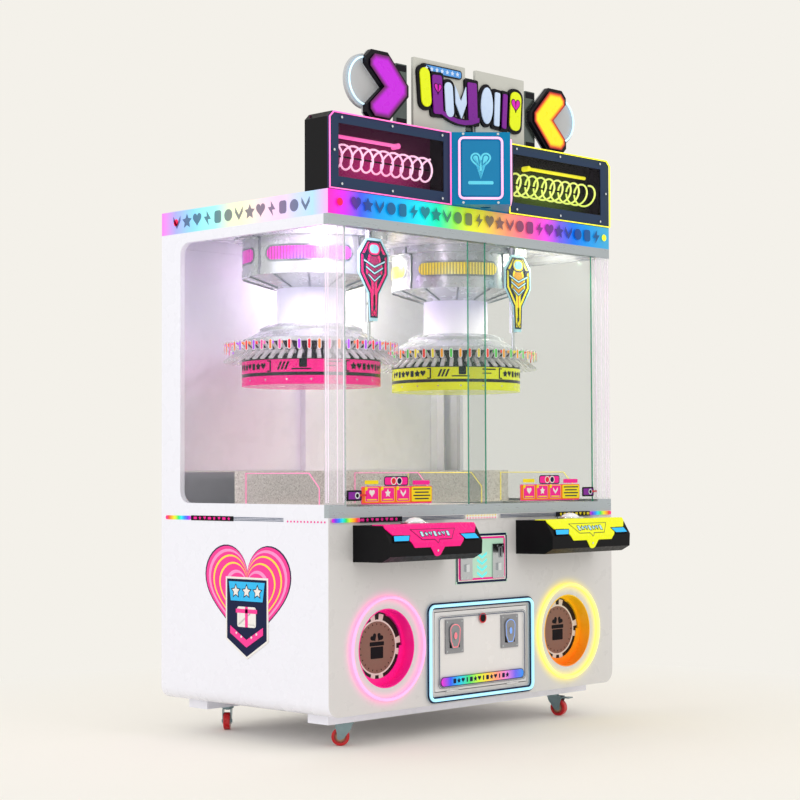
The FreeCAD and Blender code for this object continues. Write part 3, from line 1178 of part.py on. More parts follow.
def caster_wheel(name):
    """Wheel with a rounded tread, running on the fork's axle."""
    wheel = cylinder(WHEEL_R, (-WHEEL_W / 2, CASTER_TRAIL, WHEEL_R), (1, 0, 0), WHEEL_W)
    wheel = wheel.makeFillet(TREAD_FILLET, [e for e in wheel.Edges if e.Closed])
    bore = cylinder(AXLE_R + RUN_FIT, (-WHEEL_W, CASTER_TRAIL, WHEEL_R), (1, 0, 0), 2 * WHEEL_W)
    return set_heading(wheel.cut(bore), name)


def brake_pedal(name):
    """Foot pedal of the braked caster, turning on its pin between the fork's legs."""
    y, z = CASTER_TRAIL + PEDAL_PIN_OUT, PEDAL_PIN_Z
    half = WHEEL_W / 2
    hub = cylinder(PEDAL_HUB_R, (-half, y, z), (1, 0, 0), 2 * half)
    arm = box(-half, half, y, y + PEDAL_REACH, z, z + PEDAL_T)
    pad = box(-half - 5, half + 5, y + PEDAL_REACH - 20, y + PEDAL_REACH, z, z + PEDAL_T)
    bore = cylinder(PEDAL_PIN_R + RUN_FIT, (-WHEEL_W, y, z), (1, 0, 0), 2 * WHEEL_W)
    return set_heading(fuse_all([hub, arm, pad]).cut(bore), name)


def main():
    os.makedirs("parts", exist_ok=True)
    right = side_panel()
    save(cabinet_frame(), "cabinet_frame")
    save(both_sides(right), "side_panels")
    save(front_panel(), "front_panel")
    save(rear_panel(), "rear_panel")
    save(roof_panel(), "roof_panel")
    save(play_deck(), "play_deck")
    save(guard_plates(), "guard_plates")
    save(window_tracks(), "window_tracks")
    save(corner_posts(), "corner_posts")
    save(side_glasses(), "side_glasses")
    save(fascia_lightboxes(), "fascia_lightboxes")
    box_right = marquee_box()
    save(Part.makeCompound([box_right, mirror_x(box_right), marquee_pod()]), "marquee_boxes")
    save(marquee_windows(), "marquee_windows")
    save(neon_tubes(), "neon_tubes")
    save(sign_board(), "sign_board")
    save(sign_emblems(), "sign_emblems")
    for make, node in ((turret_canopy, "turret_canopies"), (turret_column, "turret_columns"),
                       (turret_skirt, "turret_skirts"), (drive_motor, "drive_motors"),
                       (console_shell, "console_shells"), (console_faceplate, "console_faceplates"),
                       (outlet_sleeve, "outlet_sleeves"), (prize_chute, "prize_chutes"),
                       (poker_housing, "poker_housings"), (poker_pendant, "poker_pendants")):
        save(both_sides(make()), node)
    save(coin_plate(), "coin_plate")
    save(coin_selectors(), "coin_selectors")
    save(caster_plates(), "caster_plates")
    save(power_inlet(), "power_inlet")
    save(service_door(), "service_door")
    save(coin_return_plates(), "coin_return_plates")
    save(door_lock(), "door_lock")
    for side, name in ((-1, "left"), (1, "right")):
        save(window(side), name + "_window")
        save(drum(side), name + "_drum")
        save(clips(side), name + "_clips")
        save(front_clip(side), name + "_front_clip")
        save(pinion(side), name + "_pinion")
        save(poker(side), name + "_poker")
        save(button(side), name + "_button")
        save(coin_lever(side), name + "_coin_lever")
        save(prize_flap(side), name + "_prize_flap")
    for name in CASTERS:
        save(caster_fork(name), name + "_fork")
        save(caster_wheel(name), name + "_wheel")
    for name in BRAKED:
        save(brake_pedal(name), name + "_brake_pedal")


main()
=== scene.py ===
# %% [markdown]
# # A two-player clip prize machine
# The machine is a white steel cabinet on casters with glass all round its upper half. Two carousels of plastic
# clips hang from the ceiling, and a rod in front of each one comes down on a clip so that it drops its prize.
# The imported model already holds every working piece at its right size, so it is loaded as a fixed frame. What
# is made here is the finish of each piece, and the small or decorative pieces that the frame doesn't have.

# %% The frame
import math

import bpy
from mathutils import Matrix, Vector


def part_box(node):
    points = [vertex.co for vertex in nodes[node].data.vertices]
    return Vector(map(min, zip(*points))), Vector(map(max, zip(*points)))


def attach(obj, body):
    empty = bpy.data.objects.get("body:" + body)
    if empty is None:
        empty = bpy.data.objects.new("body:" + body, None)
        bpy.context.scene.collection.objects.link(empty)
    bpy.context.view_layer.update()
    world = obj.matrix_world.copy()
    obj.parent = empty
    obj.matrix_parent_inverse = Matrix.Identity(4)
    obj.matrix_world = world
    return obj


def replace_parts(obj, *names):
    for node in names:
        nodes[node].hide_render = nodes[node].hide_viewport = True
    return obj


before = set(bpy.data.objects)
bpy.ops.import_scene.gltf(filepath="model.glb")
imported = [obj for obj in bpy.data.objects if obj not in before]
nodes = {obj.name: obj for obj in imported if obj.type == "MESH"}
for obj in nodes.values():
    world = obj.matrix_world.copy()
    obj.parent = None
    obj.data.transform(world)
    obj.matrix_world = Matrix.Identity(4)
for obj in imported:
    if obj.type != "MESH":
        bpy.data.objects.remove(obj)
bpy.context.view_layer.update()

# %% [markdown]
# A few sizes are used again and again: the plane of the cabinet's front sheet, its half width, and the two
# turret axes. They are read from the frame's own boxes, so every new piece lands where the frame says.

# %% Places read from the frame
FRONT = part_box("front_panel")[0].y
HALF, REAR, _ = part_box("side_panels")[1]
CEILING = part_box("turret_canopies")[1].z
drum_low, drum_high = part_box("left_drum")
TURRET_X = -(drum_low.x + drum_high.x) / 2
TURRET_Y = (drum_low.y + drum_high.y) / 2
fascia_low, fascia_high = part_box("fascia_lightboxes")
SIDES = {"left": -1, "right": 1}
print("front plane", round(FRONT, 3), "turret axes", round(TURRET_X, 3), round(TURRET_Y, 3))

# %% [markdown]
# The camera stands at the players' front left, almost level, with a long lens, so the verticals stay nearly
# parallel. An 85 mm lens on a 36 mm sensor gives that calm product view. It needs a place, a direction and a
# small roll.

# %% Camera
camera = bpy.data.objects.new("camera", bpy.data.cameras.new("camera"))
bpy.context.collection.objects.link(camera)
camera.data.lens = 85.0
camera.location = (-5.0333, -4.8602, 0.9322)
VIEW, ROLL = Vector((0.7150, 0.6981, 0.0373)), -0.0038
aim = VIEW.to_track_quat("-Z", "Y").to_matrix().to_4x4()
camera.rotation_euler = (aim @ Matrix.Rotation(ROLL, 4, "Z")).to_euler()
bpy.context.scene.camera = camera
bpy.context.scene.view_settings.view_transform = "Standard"
print("camera at", tuple(round(v, 2) for v in camera.location))

# %% [markdown]
# Colours are easier to choose as the hex codes that a paint or screen chart gives, but Blender's shaders work
# in linear light. This helper turns one into the other.

# %% Hex colours to linear light
def tint(code):
    """Linear RGBA from a hex colour such as 'ff1080'."""
    channels = [int(code[i:i + 2], 16) / 255 for i in (0, 2, 4)]
    linear = [c / 12.92 if c <= 0.04045 else ((c + 0.055) / 1.055) ** 2.4 for c in channels]
    return (*linear, 1.0)


# %% [markdown]
# Materials are graphs of nodes. Wiring each one by hand hides the idea behind boilerplate, so three small
# helpers make a maths node, a colour ramp and a mix of two colours, and hand back the output socket.

# %% Small node helpers
def plug(tree, socket, value):
    """Sets a socket to a number or colour, or links another socket to it."""
    if isinstance(value, bpy.types.NodeSocket):
        tree.links.new(value, socket)
    else:
        socket.default_value = value


def maths(tree, operation, *values):
    node = tree.nodes.new("ShaderNodeMath")
    node.operation = operation
    for socket, value in zip(node.inputs, values):
        plug(tree, socket, value)
    return node.outputs[0]


def ramp(tree, factor, stops, steps=False):
    """Colour ramp from a list of (place from 0 to 1, colour)."""
    node = tree.nodes.new("ShaderNodeValToRGB")
    node.color_ramp.interpolation = "CONSTANT" if steps else "LINEAR"
    points = node.color_ramp.elements
    while len(points) < len(stops):
        points.new(0.5)
    for point, (place, colour) in zip(points, stops):
        point.position = place
        point.color = colour
    plug(tree, node.inputs[0], factor)
    return node.outputs[0]


def mix(tree, factor, first, second):
    node = tree.nodes.new("ShaderNodeMix")
    node.data_type = "RGBA"
    plug(tree, node.inputs[0], factor)
    plug(tree, node.inputs[6], first)
    plug(tree, node.inputs[7], second)
    return node.outputs[2]


def noise(tree, vector, scale, detail=3.0):
    node = tree.nodes.new("ShaderNodeTexNoise")
    node.inputs["Scale"].default_value = scale
    node.inputs["Detail"].default_value = detail
    plug(tree, node.inputs["Vector"], vector)
    return node.outputs["Fac"]


def between(tree, value, low, high):
    """1 where value lies between low and high, and 0 elsewhere."""
    above = maths(tree, "GREATER_THAN", value, low)
    return maths(tree, "MULTIPLY", above, maths(tree, "LESS_THAN", value, high))


def spread(tree, value, low, high):
    """Value scaled so that low gives 0 and high gives 1, held inside that range."""
    node = tree.nodes.new("ShaderNodeMapRange")
    for socket, number in zip(node.inputs, (value, low, high, 0.0, 1.0)):
        plug(tree, socket, number)
    return node.outputs[0]


# %% [markdown]
# No real surface is one flat value. Paint has orange peel, metal has brushing, plastic has a slightly uneven
# gloss. `start_finish` begins a material with its coordinates, and `end_finish` adds the things that a finish
# needs: a small drift in colour, an uneven roughness, and a fine bump and a glow where they are asked for. The
# glow is a lamp's light on lit parts and painted light on parts that are no lamp.

# %% Beginning and ending a finish
RELIEF = 0.0006


def start_finish(name, centre=(0.0, 0.0, 0.0)):
    """New material with Object coordinates moved so that centre is the zero point."""
    finish = bpy.data.materials.new(name)
    finish.use_nodes = True
    tree = finish.node_tree
    place = tree.nodes.new("ShaderNodeTexCoord")
    shift = tree.nodes.new("ShaderNodeMapping")
    shift.inputs["Location"].default_value = [-c for c in centre]
    tree.links.new(place.outputs["Object"], shift.inputs["Vector"])
    split = tree.nodes.new("ShaderNodeSeparateXYZ")
    tree.links.new(shift.outputs[0], split.inputs[0])
    return finish, tree, shift.outputs[0], split.outputs


def end_finish(finish, tree, vector, colour, rough=0.4, metal=0.0, grain=40.0, drift=0.05, bump=0.05, glow=0.0,
               coat=0.0, brushed=None, shine=0.30):
    """Wires colour and gloss into the shader; brushed stretches the grain, glow may be a number or a socket."""
    shader = tree.nodes["Principled BSDF"]
    grain_vector = vector
    if brushed:
        stretch = tree.nodes.new("ShaderNodeMapping")
        stretch.inputs["Scale"].default_value = brushed
        tree.links.new(vector, stretch.inputs["Vector"])
        grain_vector = stretch.outputs[0]
    cloud = noise(tree, grain_vector, grain, 4.0)
    low = mix(tree, 1.0 - drift, (0.0, 0.0, 0.0, 1.0), colour)
    shade = mix(tree, cloud, low, colour)
    plug(tree, shader.inputs["Base Color"], shade)
    gloss = tree.nodes.new("ShaderNodeMapRange")
    for socket, number in zip(gloss.inputs, (cloud, 0.3, 0.7, rough * 0.82, min(1.0, rough * 1.18))):
        plug(tree, socket, number)
    plug(tree, shader.inputs["Roughness"], gloss.outputs[0])
    shader.inputs["Metallic"].default_value = metal
    shader.inputs["Coat Weight"].default_value = coat
    shader.inputs["Specular IOR Level"].default_value = shine
    if bump:
        relief = tree.nodes.new("ShaderNodeBump")
        relief.inputs["Strength"].default_value = bump
        relief.inputs["Distance"].default_value = RELIEF
        plug(tree, relief.inputs["Height"], noise(tree, grain_vector, grain * 6.0, 2.0))
        tree.links.new(relief.outputs[0], shader.inputs["Normal"])
    if glow:
        plug(tree, shader.inputs["Emission Color"], shade)
        plug(tree, shader.inputs["Emission Strength"], glow)
    return finish


def plain(name, code, **facts):
    """Finish of one colour, with the usual drift, gloss and bump."""
    finish, tree, vector, _ = start_finish(name)
    return end_finish(finish, tree, vector, tint(code), **facts)


def dress(finish, *names):
    """Gives one or more frame nodes their finish."""
    for name in names:
        slots = nodes[name].material_slots
        if not slots:
            nodes[name].data.materials.append(finish)
        for slot in slots:
            slot.material = finish


# %% [markdown]
# The floor is a wide pale sheet. It has to meet the backdrop without a horizon line, so its surface fades with
# distance from a real diffuse floor, which can take the machine's soft shadow, to plain light of the same
# colour as the world behind it.

# %% Floor
backdrop = tint("f4f1ea")
bpy.ops.object.select_all(action="DESELECT")
bpy.ops.mesh.primitive_circle_add(vertices=96, radius=40.0, fill_type="NGON")
floor = bpy.context.object
floor.name = "floor"
floor_finish, tree, vector, axes = start_finish("pale_floor")
away = tree.nodes.new("ShaderNodeVectorMath")
away.operation = "LENGTH"
tree.links.new(vector, away.inputs[0])
matte = tree.nodes["Principled BSDF"]
matte.inputs["Base Color"].default_value = tint("fbf8f2")
matte.inputs["Roughness"].default_value = 0.9
light = tree.nodes.new("ShaderNodeEmission")
light.inputs["Color"].default_value = backdrop
fade = tree.nodes.new("ShaderNodeMixShader")
plug(tree, fade.inputs[0], spread(tree, away.outputs["Value"], 1.0, 2.4))
tree.links.new(matte.outputs[0], fade.inputs[1])
tree.links.new(light.outputs[0], fade.inputs[2])
tree.links.new(fade.outputs[0], tree.nodes["Material Output"].inputs["Surface"])
floor.data.materials.append(floor_finish)
print("floor radius 40 m")

# %% [markdown]
# The light is soft and comes from everywhere, as in a product studio: a bright even world, one large panel on
# the left that makes the side sheet the brightest face, and a weaker one in front. Inside the cabinet four
# small ceiling lights, two at the front and two at the rear, stand for the strip lights above the carousels.
# They are tinted like the stations under them.

# %% Studio light
world = bpy.data.worlds.new("studio")
bpy.context.scene.world = world
world.use_nodes = True
world.node_tree.nodes["Background"].inputs["Color"].default_value = backdrop


def soft_light(name, place, target, size, power, colour=(1.0, 1.0, 1.0)):
    lamp = bpy.data.objects.new(name, bpy.data.lights.new(name, "AREA"))
    bpy.context.collection.objects.link(lamp)
    lamp.data.size = size
    lamp.data.energy = power
    lamp.data.color = colour
    lamp.location = place
    lamp.rotation_euler = (Vector(target) - Vector(place)).to_track_quat("-Z", "Y").to_euler()
    return lamp


soft_light("key_panel", (-6.0, 0.5, 3.2), (0.0, 0.0, 1.2), 3.5, 58.0, (0.88, 0.92, 1.0))
soft_light("front_panel_light", (0.5, -6.0, 3.6), (0.0, 0.0, 1.2), 3.0, 34.0, (1.0, 0.97, 0.93))
for side, colour in (("left", (1.0, 0.80, 0.93)), ("right", (1.0, 0.98, 0.78))):
    x = SIDES[side] * TURRET_X
    soft_light(side + "_ceiling_light", (x * 1.62, FRONT + 0.08, CEILING - 0.03), (x, TURRET_Y, 1.3), 0.10, 2.2,
               colour)
    soft_light(side + "_rear_light", (x * 0.25, REAR - 0.16, CEILING - 0.04), (x, REAR - 0.2, 0.9), 0.08, 1.9,
               colour)

# %% [markdown]
# ## Sheet metal
# The cabinet is folded steel with a gloss powder coat. Powder flows into a faint orange peel, which a fine
# noise bump gives, and a thin clear coat keeps the reflections sharp above it. The side sheets are a bluish
# white, and the front sheet has the same coat painted a darker, warmer grey, as painted shade. The neon rings'
# light round the prize outlets is also painted into the front sheet's colour and glow: painted light that
# falls off on both sides of the ring's radius.

# %% Powder coat
white = plain("powder_coat_white", "f3f4ff", rough=0.28, grain=14.0, drift=0.012, bump=0.02, coat=0.3)
dress(white, "side_panels", "rear_panel", "roof_panel", "cabinet_frame")

flap_low, flap_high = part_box("right_prize_flap")
OUTLET_X = (flap_low.x + flap_high.x) / 2
sleeve_low, sleeve_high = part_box("outlet_sleeves")
OUTLET_Z = (sleeve_low.z + sleeve_high.z) / 2
RING_R, PAINTED_LIGHT_REACH = 0.172, 0.042


def distance(tree, a, b):
    squares = [maths(tree, "MULTIPLY", value, value) for value in (a, b)]
    return maths(tree, "SQRT", maths(tree, "ADD", *squares))


def painted_ring_light(tree, axes, x, radius, reach):
    """Painted light round a neon ring, 1 at the tube and 0 at reach to either side."""
    across = maths(tree, "SUBTRACT", axes[0], x)
    up = maths(tree, "SUBTRACT", axes[2], OUTLET_Z)
    gap = maths(tree, "ABSOLUTE", maths(tree, "SUBTRACT", distance(tree, across, up), radius))
    near = maths(tree, "SUBTRACT", 1.0, spread(tree, gap, 0.0, reach))
    return maths(tree, "POWER", near, 2.2)


finish, tree, vector, axes = start_finish("front_coat_painted_shade_and_light")
painted_pink_light = painted_ring_light(tree, axes, -OUTLET_X, RING_R, PAINTED_LIGHT_REACH)
painted_yellow_light = painted_ring_light(tree, axes, OUTLET_X, RING_R, PAINTED_LIGHT_REACH)
# Painted shade: the front's coat is a darker grey than the sides'. Painted light: pink and yellow from the
# rings.
sheet = mix(tree, painted_pink_light, tint("dddcde"), tint("ffb8dc"))
sheet = mix(tree, painted_yellow_light, sheet, tint("fff07a"))
# The rings' painted light also glows on the front sheet.
painted_ring_glow = maths(tree, "MULTIPLY", maths(tree, "MAXIMUM", painted_pink_light, painted_yellow_light), 0.25)
end_finish(finish, tree, vector, sheet, rough=0.3, grain=14.0, drift=0.012, bump=0.02, coat=0.3, glow=painted_ring_glow)
dress(finish, "front_panel")
print("powder coat on 5 nodes")

# %% [markdown]
# Other plain finishes: brushed aluminium for the rails, with the noise stretched along the rail; zinc for the
# casters; chrome for the coin gear; black textured plastic; a pale speckled laminate for the deck, which shows
# through the glass.

# %% Metals and plastics
rail_metal = plain("brushed_rail", "b9c2c9", rough=0.32, metal=0.75, grain=30.0, drift=0.12, bump=0.08,
                   brushed=(0.5, 6.0, 6.0))
dress(rail_metal, "window_tracks")
zinc = plain("zinc_plate", "8fa6ad", rough=0.34, metal=0.9, grain=70.0, drift=0.25, bump=0.10)
dress(zinc, "caster_plates", "front_left_fork", "front_right_fork", "rear_left_fork", "rear_right_fork",
      "front_right_brake_pedal")
chrome = plain("chrome", "dfe3e6", rough=0.12, metal=1.0, grain=20.0, drift=0.06, bump=0.0)
dress(chrome, "left_poker", "right_poker", "poker_housings", "left_coin_lever", "right_coin_lever",
      "door_lock")
steel = plain("galvanised", "aeb4b8", rough=0.42, metal=0.8, grain=24.0, drift=0.25, bump=0.06)
dress(steel, "prize_chutes")
black = plain("black_plastic", "0b0b0f", rough=0.42, grain=90.0, drift=0.2, bump=0.12, shine=0.12)
dress(black, "drive_motors", "power_inlet", "console_shells")
acetal = plain("white_acetal", "e8e8e2", rough=0.45, grain=30.0, drift=0.05, bump=0.04)
dress(acetal, "left_pinion", "right_pinion")
print("metals and plastics done")

# %% Deck
finish, tree, vector, axes = start_finish("speckled_deck")
speckle = noise(tree, vector, 260.0, 2.0)
deck_codes = [(0.30, "a8a39e"), (0.45, "dcd7d2"), (0.60, "e8e4df"), (0.72, "fbf9f6")]
deck_colour = ramp(tree, speckle, [(place, tint(code)) for place, code in deck_codes])
# The glow is painted light that brightens the deck where the ceiling lights leave it in shade.
end_finish(finish, tree, vector, deck_colour, rough=0.5, grain=40.0, drift=0.05, bump=0.05, glow=0.16)
dress(finish, "play_deck")
print("deck speckles in", len(deck_codes), "tones")

# %% [markdown]
# A caster wheel is a red urethane tyre on a tan hub. Both are one node, so the colour follows the distance
# from the wheel's centre. Each wheel has its own heading, which is why the distance is measured in three
# dimensions: the hub's faces are nearer to the centre than the tread.

# %% Wheels
TYRE_R = 0.034
tyre_codes = [(0.0, "8d949a"), (0.44, "c7a579"), (0.66, "7d1418"), (0.74, "c8141c"), (1.0, "d81820")]
for corner in ("front_left", "front_right", "rear_left", "rear_right"):
    low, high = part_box(corner + "_wheel")
    finish, tree, vector, axes = start_finish(corner + "_tyre", (low + high) / 2)
    length = tree.nodes.new("ShaderNodeVectorMath")
    length.operation = "LENGTH"
    tree.links.new(vector, length.inputs[0])
    rings = ramp(tree, maths(tree, "DIVIDE", length.outputs["Value"], TYRE_R),
                 [(place, tint(code)) for place, code in tyre_codes])
    end_finish(finish, tree, vector, rings, rough=0.28, grain=60.0, drift=0.1, bump=0.05, coat=0.4)
    dress(finish, corner + "_wheel")
print("wheels: 4")

# %% [markdown]
# Clear acrylic and glass are nearly invisible face on and catch the light at a grazing angle. Light should
# also pass through them to the inside, so they are made with a low alpha that rises with the Fresnel-like Layer
# Weight, rather than with refraction, which would keep the studio light out of the cabinet. The upright cut
# edges of the sliding panes look green.

# %% Clear sheets
def clear(name, code, edge_code=None, edge_mask=None, low=0.04, high=0.55, rough=0.04):
    """edge_mask(tree, axes) gives 1 where the sheet shows its cut edge."""
    finish, tree, vector, axes = start_finish(name)
    colour = tint(code)
    weight = tree.nodes.new("ShaderNodeLayerWeight")
    weight.inputs["Blend"].default_value = 0.25
    alpha = tree.nodes.new("ShaderNodeMapRange")
    for socket, number in zip(alpha.inputs, (weight.outputs["Facing"], 0.0, 1.0, low, high)):
        plug(tree, socket, number)
    see = alpha.outputs[0]
    if edge_mask:
        edge = edge_mask(tree, axes)
        colour = mix(tree, edge, colour, tint(edge_code))
        see = maths(tree, "MAXIMUM", see, maths(tree, "MULTIPLY", edge, 0.9))
    end_finish(finish, tree, vector, colour, rough=rough, grain=8.0, drift=0.03, bump=0.0)
    plug(tree, tree.nodes["Principled BSDF"].inputs["Alpha"], see)
    return finish


def outside(tree, value, low, high):
    return maths(tree, "SUBTRACT", 1.0, between(tree, value, low, high))


for side in SIDES:
    low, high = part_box(side + "_window")
    cut_edges = (low.x + 0.0015, high.x - 0.0015)
    glass = clear(side + "_pane_glass", "6f8a80", "2aa884",
                  lambda tree, axes: outside(tree, axes[0], *cut_edges), low=0.03, high=0.45)
    dress(glass, side + "_window")
dress(clear("side_glass", "7d8890", low=0.02, high=0.30), "side_glasses")
dress(clear("post_acrylic", "f3f3fb", low=0.10, high=0.70, rough=0.08), "corner_posts")
dress(clear("marquee_pane", "2a2430", low=0.08, high=0.5), "marquee_windows")
print("clear sheets done")

# %% [markdown]
# Pieces are made with a few shared steps: `settle` names a piece and hands it to the body that carries it,
# `join` makes one piece of several, and `rod` gives a line of points a round section.

# %% Selecting and settling pieces
def take(piece):
    """Selects one object alone and makes it active."""
    if bpy.context.object and bpy.context.object.mode != "OBJECT":
        bpy.ops.object.mode_set(mode="OBJECT")
    bpy.ops.object.select_all(action="DESELECT")
    piece.select_set(True)
    bpy.context.view_layer.objects.active = piece
    return piece


def settle(piece, name, body="cabinet", smooth=None):
    """Puts a piece's place into its mesh, names it and hands it to the body that carries it."""
    take(piece)
    bpy.ops.object.transform_apply(location=True, rotation=True, scale=True)
    piece.name = piece.data.name = name
    if smooth:
        bpy.ops.object.shade_smooth_by_angle(angle=math.radians(smooth))
    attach(piece, body)
    return piece


def join(pieces):
    """Joins several objects into the first one."""
    take(pieces[0])
    for piece in pieces[1:]:
        piece.select_set(True)
    if len(pieces) > 1:
        bpy.ops.object.join()
    return bpy.context.object


def rod(points, radius, finish, closed=False, sides=3):
    """Round bar or tube of light along a line of points, as a closed mesh."""
    line = bpy.data.curves.new("rod", "CURVE")
    line.dimensions = "3D"
    line.bevel_depth = radius
    line.bevel_resolution = sides
    line.use_fill_caps = True
    spline = line.splines.new("POLY")
    spline.points.add(len(points) - 1)
    for point, place in zip(spline.points, points):
        point.co = (*place, 1.0)
    spline.use_cyclic_u = closed
    piece = bpy.data.objects.new("rod", line)
    bpy.context.collection.objects.link(piece)
    take(piece)
    bpy.ops.object.convert(target="MESH")
    piece = bpy.context.object
    piece.data.materials.clear()
    piece.data.materials.append(finish)
    return piece


def glow_finish(name, code, edge_code, strength):
    """Light tube: the gas glows unevenly along the glass, between a pale and a stronger colour."""
    finish, tree, vector, _ = start_finish(name)
    colour = mix(tree, spread(tree, noise(tree, vector, 7.0), 0.2, 1.2), tint(code), tint(edge_code))
    return end_finish(finish, tree, vector, colour, rough=0.3, drift=0.03, bump=0.0, glow=strength)


print("piece helpers ready")

# %% [markdown]
# The four guard plates beside the drop openings are clear acrylic cut with a chamfered corner. Light runs to
# the cut edge and comes out there, pink on the left station and yellow on the right. The free edge of each
# plate is a line in the YZ plane, so a thin glowing rod is laid along it.

# %% Guard plates
guard_low, guard_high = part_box("guard_plates")
lit = {"left": glow_finish("pink_edge_light", "ff9ccb", "ff7ab8", 0.6),
       "right": glow_finish("yellow_edge_light", "fff27a", "f6e23c", 0.6)}
EDGE_IN, GUARD_CUT = 0.002, 0.050
near, far = guard_low.y + EDGE_IN, guard_high.y - EDGE_IN
foot, top = guard_low.z + 0.004, guard_high.z - EDGE_IN
free_edge = [(far, foot), (far, top), (near + GUARD_CUT, top), (near, top - GUARD_CUT), (near, foot)]
for side, s in SIDES.items():
    rods = [rod([(s * x, y, z) for y, z in free_edge], 0.0022, lit[side]) for x in (0.142, 0.675)]
    settle(join(rods), side + "_guard_edges")
dress(clear("guard_acrylic", "b4b8b4", low=0.04, high=0.4), "guard_plates")
print("guard plate edges: 4")

# %% [markdown]
# ## Cut plates, stickers and icons
# Much of this machine's character is flat: cut acrylic letters, printed bands, badges. Each one starts as a
# filled circle with as many points as the outline needs, whose points are set on the outline. Insets in edit
# mode make borders of even width, each with a finish of its own, and a Solidify modifier gives the thickness.
# `place` turns the outline's flat (u, v) into a point on the machine, so one helper works on the front, on a
# side or on a folded facet. Where a plate has to fold or curve, it is bisected first.

# %% The plate maker
TOWARDS_PLAYER = (0, -1, 0)
FILM = 0.0006


def on_front(lift, y=FRONT):
    """(u, v) to a point in front of the plane at y."""
    return lambda u, v: Vector((u, y - lift, v))


def on_side(s, lift):
    return lambda u, v: Vector((s * (HALF + lift), u, v))


def plate(outline, place, thick, finishes, rings=(), folds=(), columns=(), out=TOWARDS_PLAYER):
    """Plate from an outline of (u, v) points; finishes run from the border inwards, one for each ring."""
    bpy.ops.object.select_all(action="DESELECT")
    bpy.ops.mesh.primitive_circle_add(vertices=len(outline), fill_type="NGON", radius=1.0)
    piece = bpy.context.object
    for vertex, (u, v) in zip(piece.data.vertices, outline):
        vertex.co = (u, v, 0.0)
    for finish in finishes:
        piece.data.materials.append(finish)
    bpy.ops.object.mode_set(mode="EDIT")
    bpy.ops.mesh.select_all(action="SELECT")
    for number, width in enumerate(rings):
        bpy.ops.mesh.inset(thickness=width, depth=0.0, use_even_offset=True)
        piece.active_material_index = number + 1
        bpy.ops.object.material_slot_assign()
    for point, normal in [((0, v, 0), (0, 1, 0)) for v in folds] + [((u, 0, 0), (1, 0, 0)) for u in columns]:
        bpy.ops.mesh.select_all(action="SELECT")
        bpy.ops.mesh.bisect(plane_co=point, plane_no=normal)
    bpy.ops.object.mode_set(mode="OBJECT")
    for vertex in piece.data.vertices:
        vertex.co = place(vertex.co.x, vertex.co.y)
    piece.data.update()
    facing = sum((face.normal * face.area for face in piece.data.polygons), Vector()).dot(Vector(out))
    take(piece)
    bpy.ops.object.mode_set(mode="EDIT")
    bpy.ops.mesh.select_all(action="SELECT")
    if facing < 0:
        bpy.ops.mesh.flip_normals()
    bpy.ops.object.mode_set(mode="OBJECT")
    solid = piece.modifiers.new("thickness", "SOLIDIFY")
    solid.thickness = thick
    solid.offset = -1.0
    bpy.ops.object.modifier_apply(modifier=solid.name)
    return piece


def laying(near, out=TOWARDS_PLAYER):
    """An empty list, and a function that lays one plate on the surface near(lift) and adds it to the list."""
    pieces = []

    def lay(outline, lift, *finishes, rings=(), folds=(), thick=None):
        """Thickness is the lift itself, unless thick says otherwise."""
        thick = lift if thick is None else thick
        pieces.append(plate(outline, near(lift), thick, finishes, rings=rings, folds=folds, out=out))

    return pieces, lay


# %% [markdown]
# The outlines of the icons are short formulas: a heart from one curve, a star from alternating radii, a rounded
# bar from four corner arcs. They stand for the machine's own lettering and marks, which are left out.

# %% Outlines
def rounded(width, height, radius, u=0.0, v=0.0, steps=6):
    """Rounded rectangle, counter-clockwise round (u, v)."""
    points = []
    for quarter, (a, b) in enumerate(((1, 1), (-1, 1), (-1, -1), (1, -1))):
        for step in range(steps + 1):
            turn = math.radians(90 * quarter + 90 * step / steps)
            points.append((u + a * (width / 2 - radius) + radius * math.cos(turn),
                           v + b * (height / 2 - radius) + radius * math.sin(turn)))
    return points


def disc(radius, u=0.0, v=0.0, steps=28, tall=1.0):
    """Circle, or an upright oval where tall is more than 1."""
    return [(u + radius * math.cos(t * math.tau / steps), v + tall * radius * math.sin(t * math.tau / steps))
            for t in range(steps)]


def heart(width, height, u=0.0, v=0.0, steps=40):
    """The well-known heart curve, which is 32 wide and 29 high, scaled to width and height."""
    points = []
    for i in range(steps):
        t = math.tau * i / steps
        x = 16 * math.sin(t) ** 3
        y = 13 * math.cos(t) - 5 * math.cos(2 * t) - 2 * math.cos(3 * t) - math.cos(4 * t)
        points.append((u - x / 32 * width, v + (y + 2.5) / 29 * height))
    return points


def star(radius, u=0.0, v=0.0, spikes=5, waist=0.5):
    radii = [radius if i % 2 == 0 else radius * waist for i in range(2 * spikes)]
    turns = [math.radians(90.0 + 180 * i / spikes) for i in range(2 * spikes)]
    return [(u + r * math.cos(a), v + r * math.sin(a)) for r, a in zip(radii, turns)]


def chevron(width, height, band, u=0.0, v=0.0):
    """Arrow head pointing down."""
    w, h = width / 2, height / 2
    return [(u - w, v + h), (u, v - h + band), (u + w, v + h), (u + w, v + h - band), (u, v - h),
            (u - w, v + h - band)]


def bolt(width, height, u=0.0, v=0.0):
    """Lightning bolt."""
    w, h = width / 2, height / 2
    return [(u + 0.2 * w, v + h), (u - w, v - 0.15 * h), (u - 0.1 * w, v - 0.15 * h), (u - 0.4 * w, v - h),
            (u + w, v + 0.25 * h), (u + 0.15 * w, v + 0.25 * h)]


def moved(points, u, v, turn=0.0):
    c, s = math.cos(math.radians(turn)), math.sin(math.radians(turn))
    return [(u + x * c - y * s, v + x * s + y * c) for x, y in points]


print("a heart has", len(heart(1, 1)), "points")

# %% [markdown]
# ## The lit fascia
# Printed film over white light boxes runs through the whole rainbow along the front, and through a paler one
# along each side. A colour ramp over X gives the front and one over Y the sides; the side faces are found by
# their distance from the middle. The same ramp, darkened, colours the row of icons printed on it, so one
# function makes both.

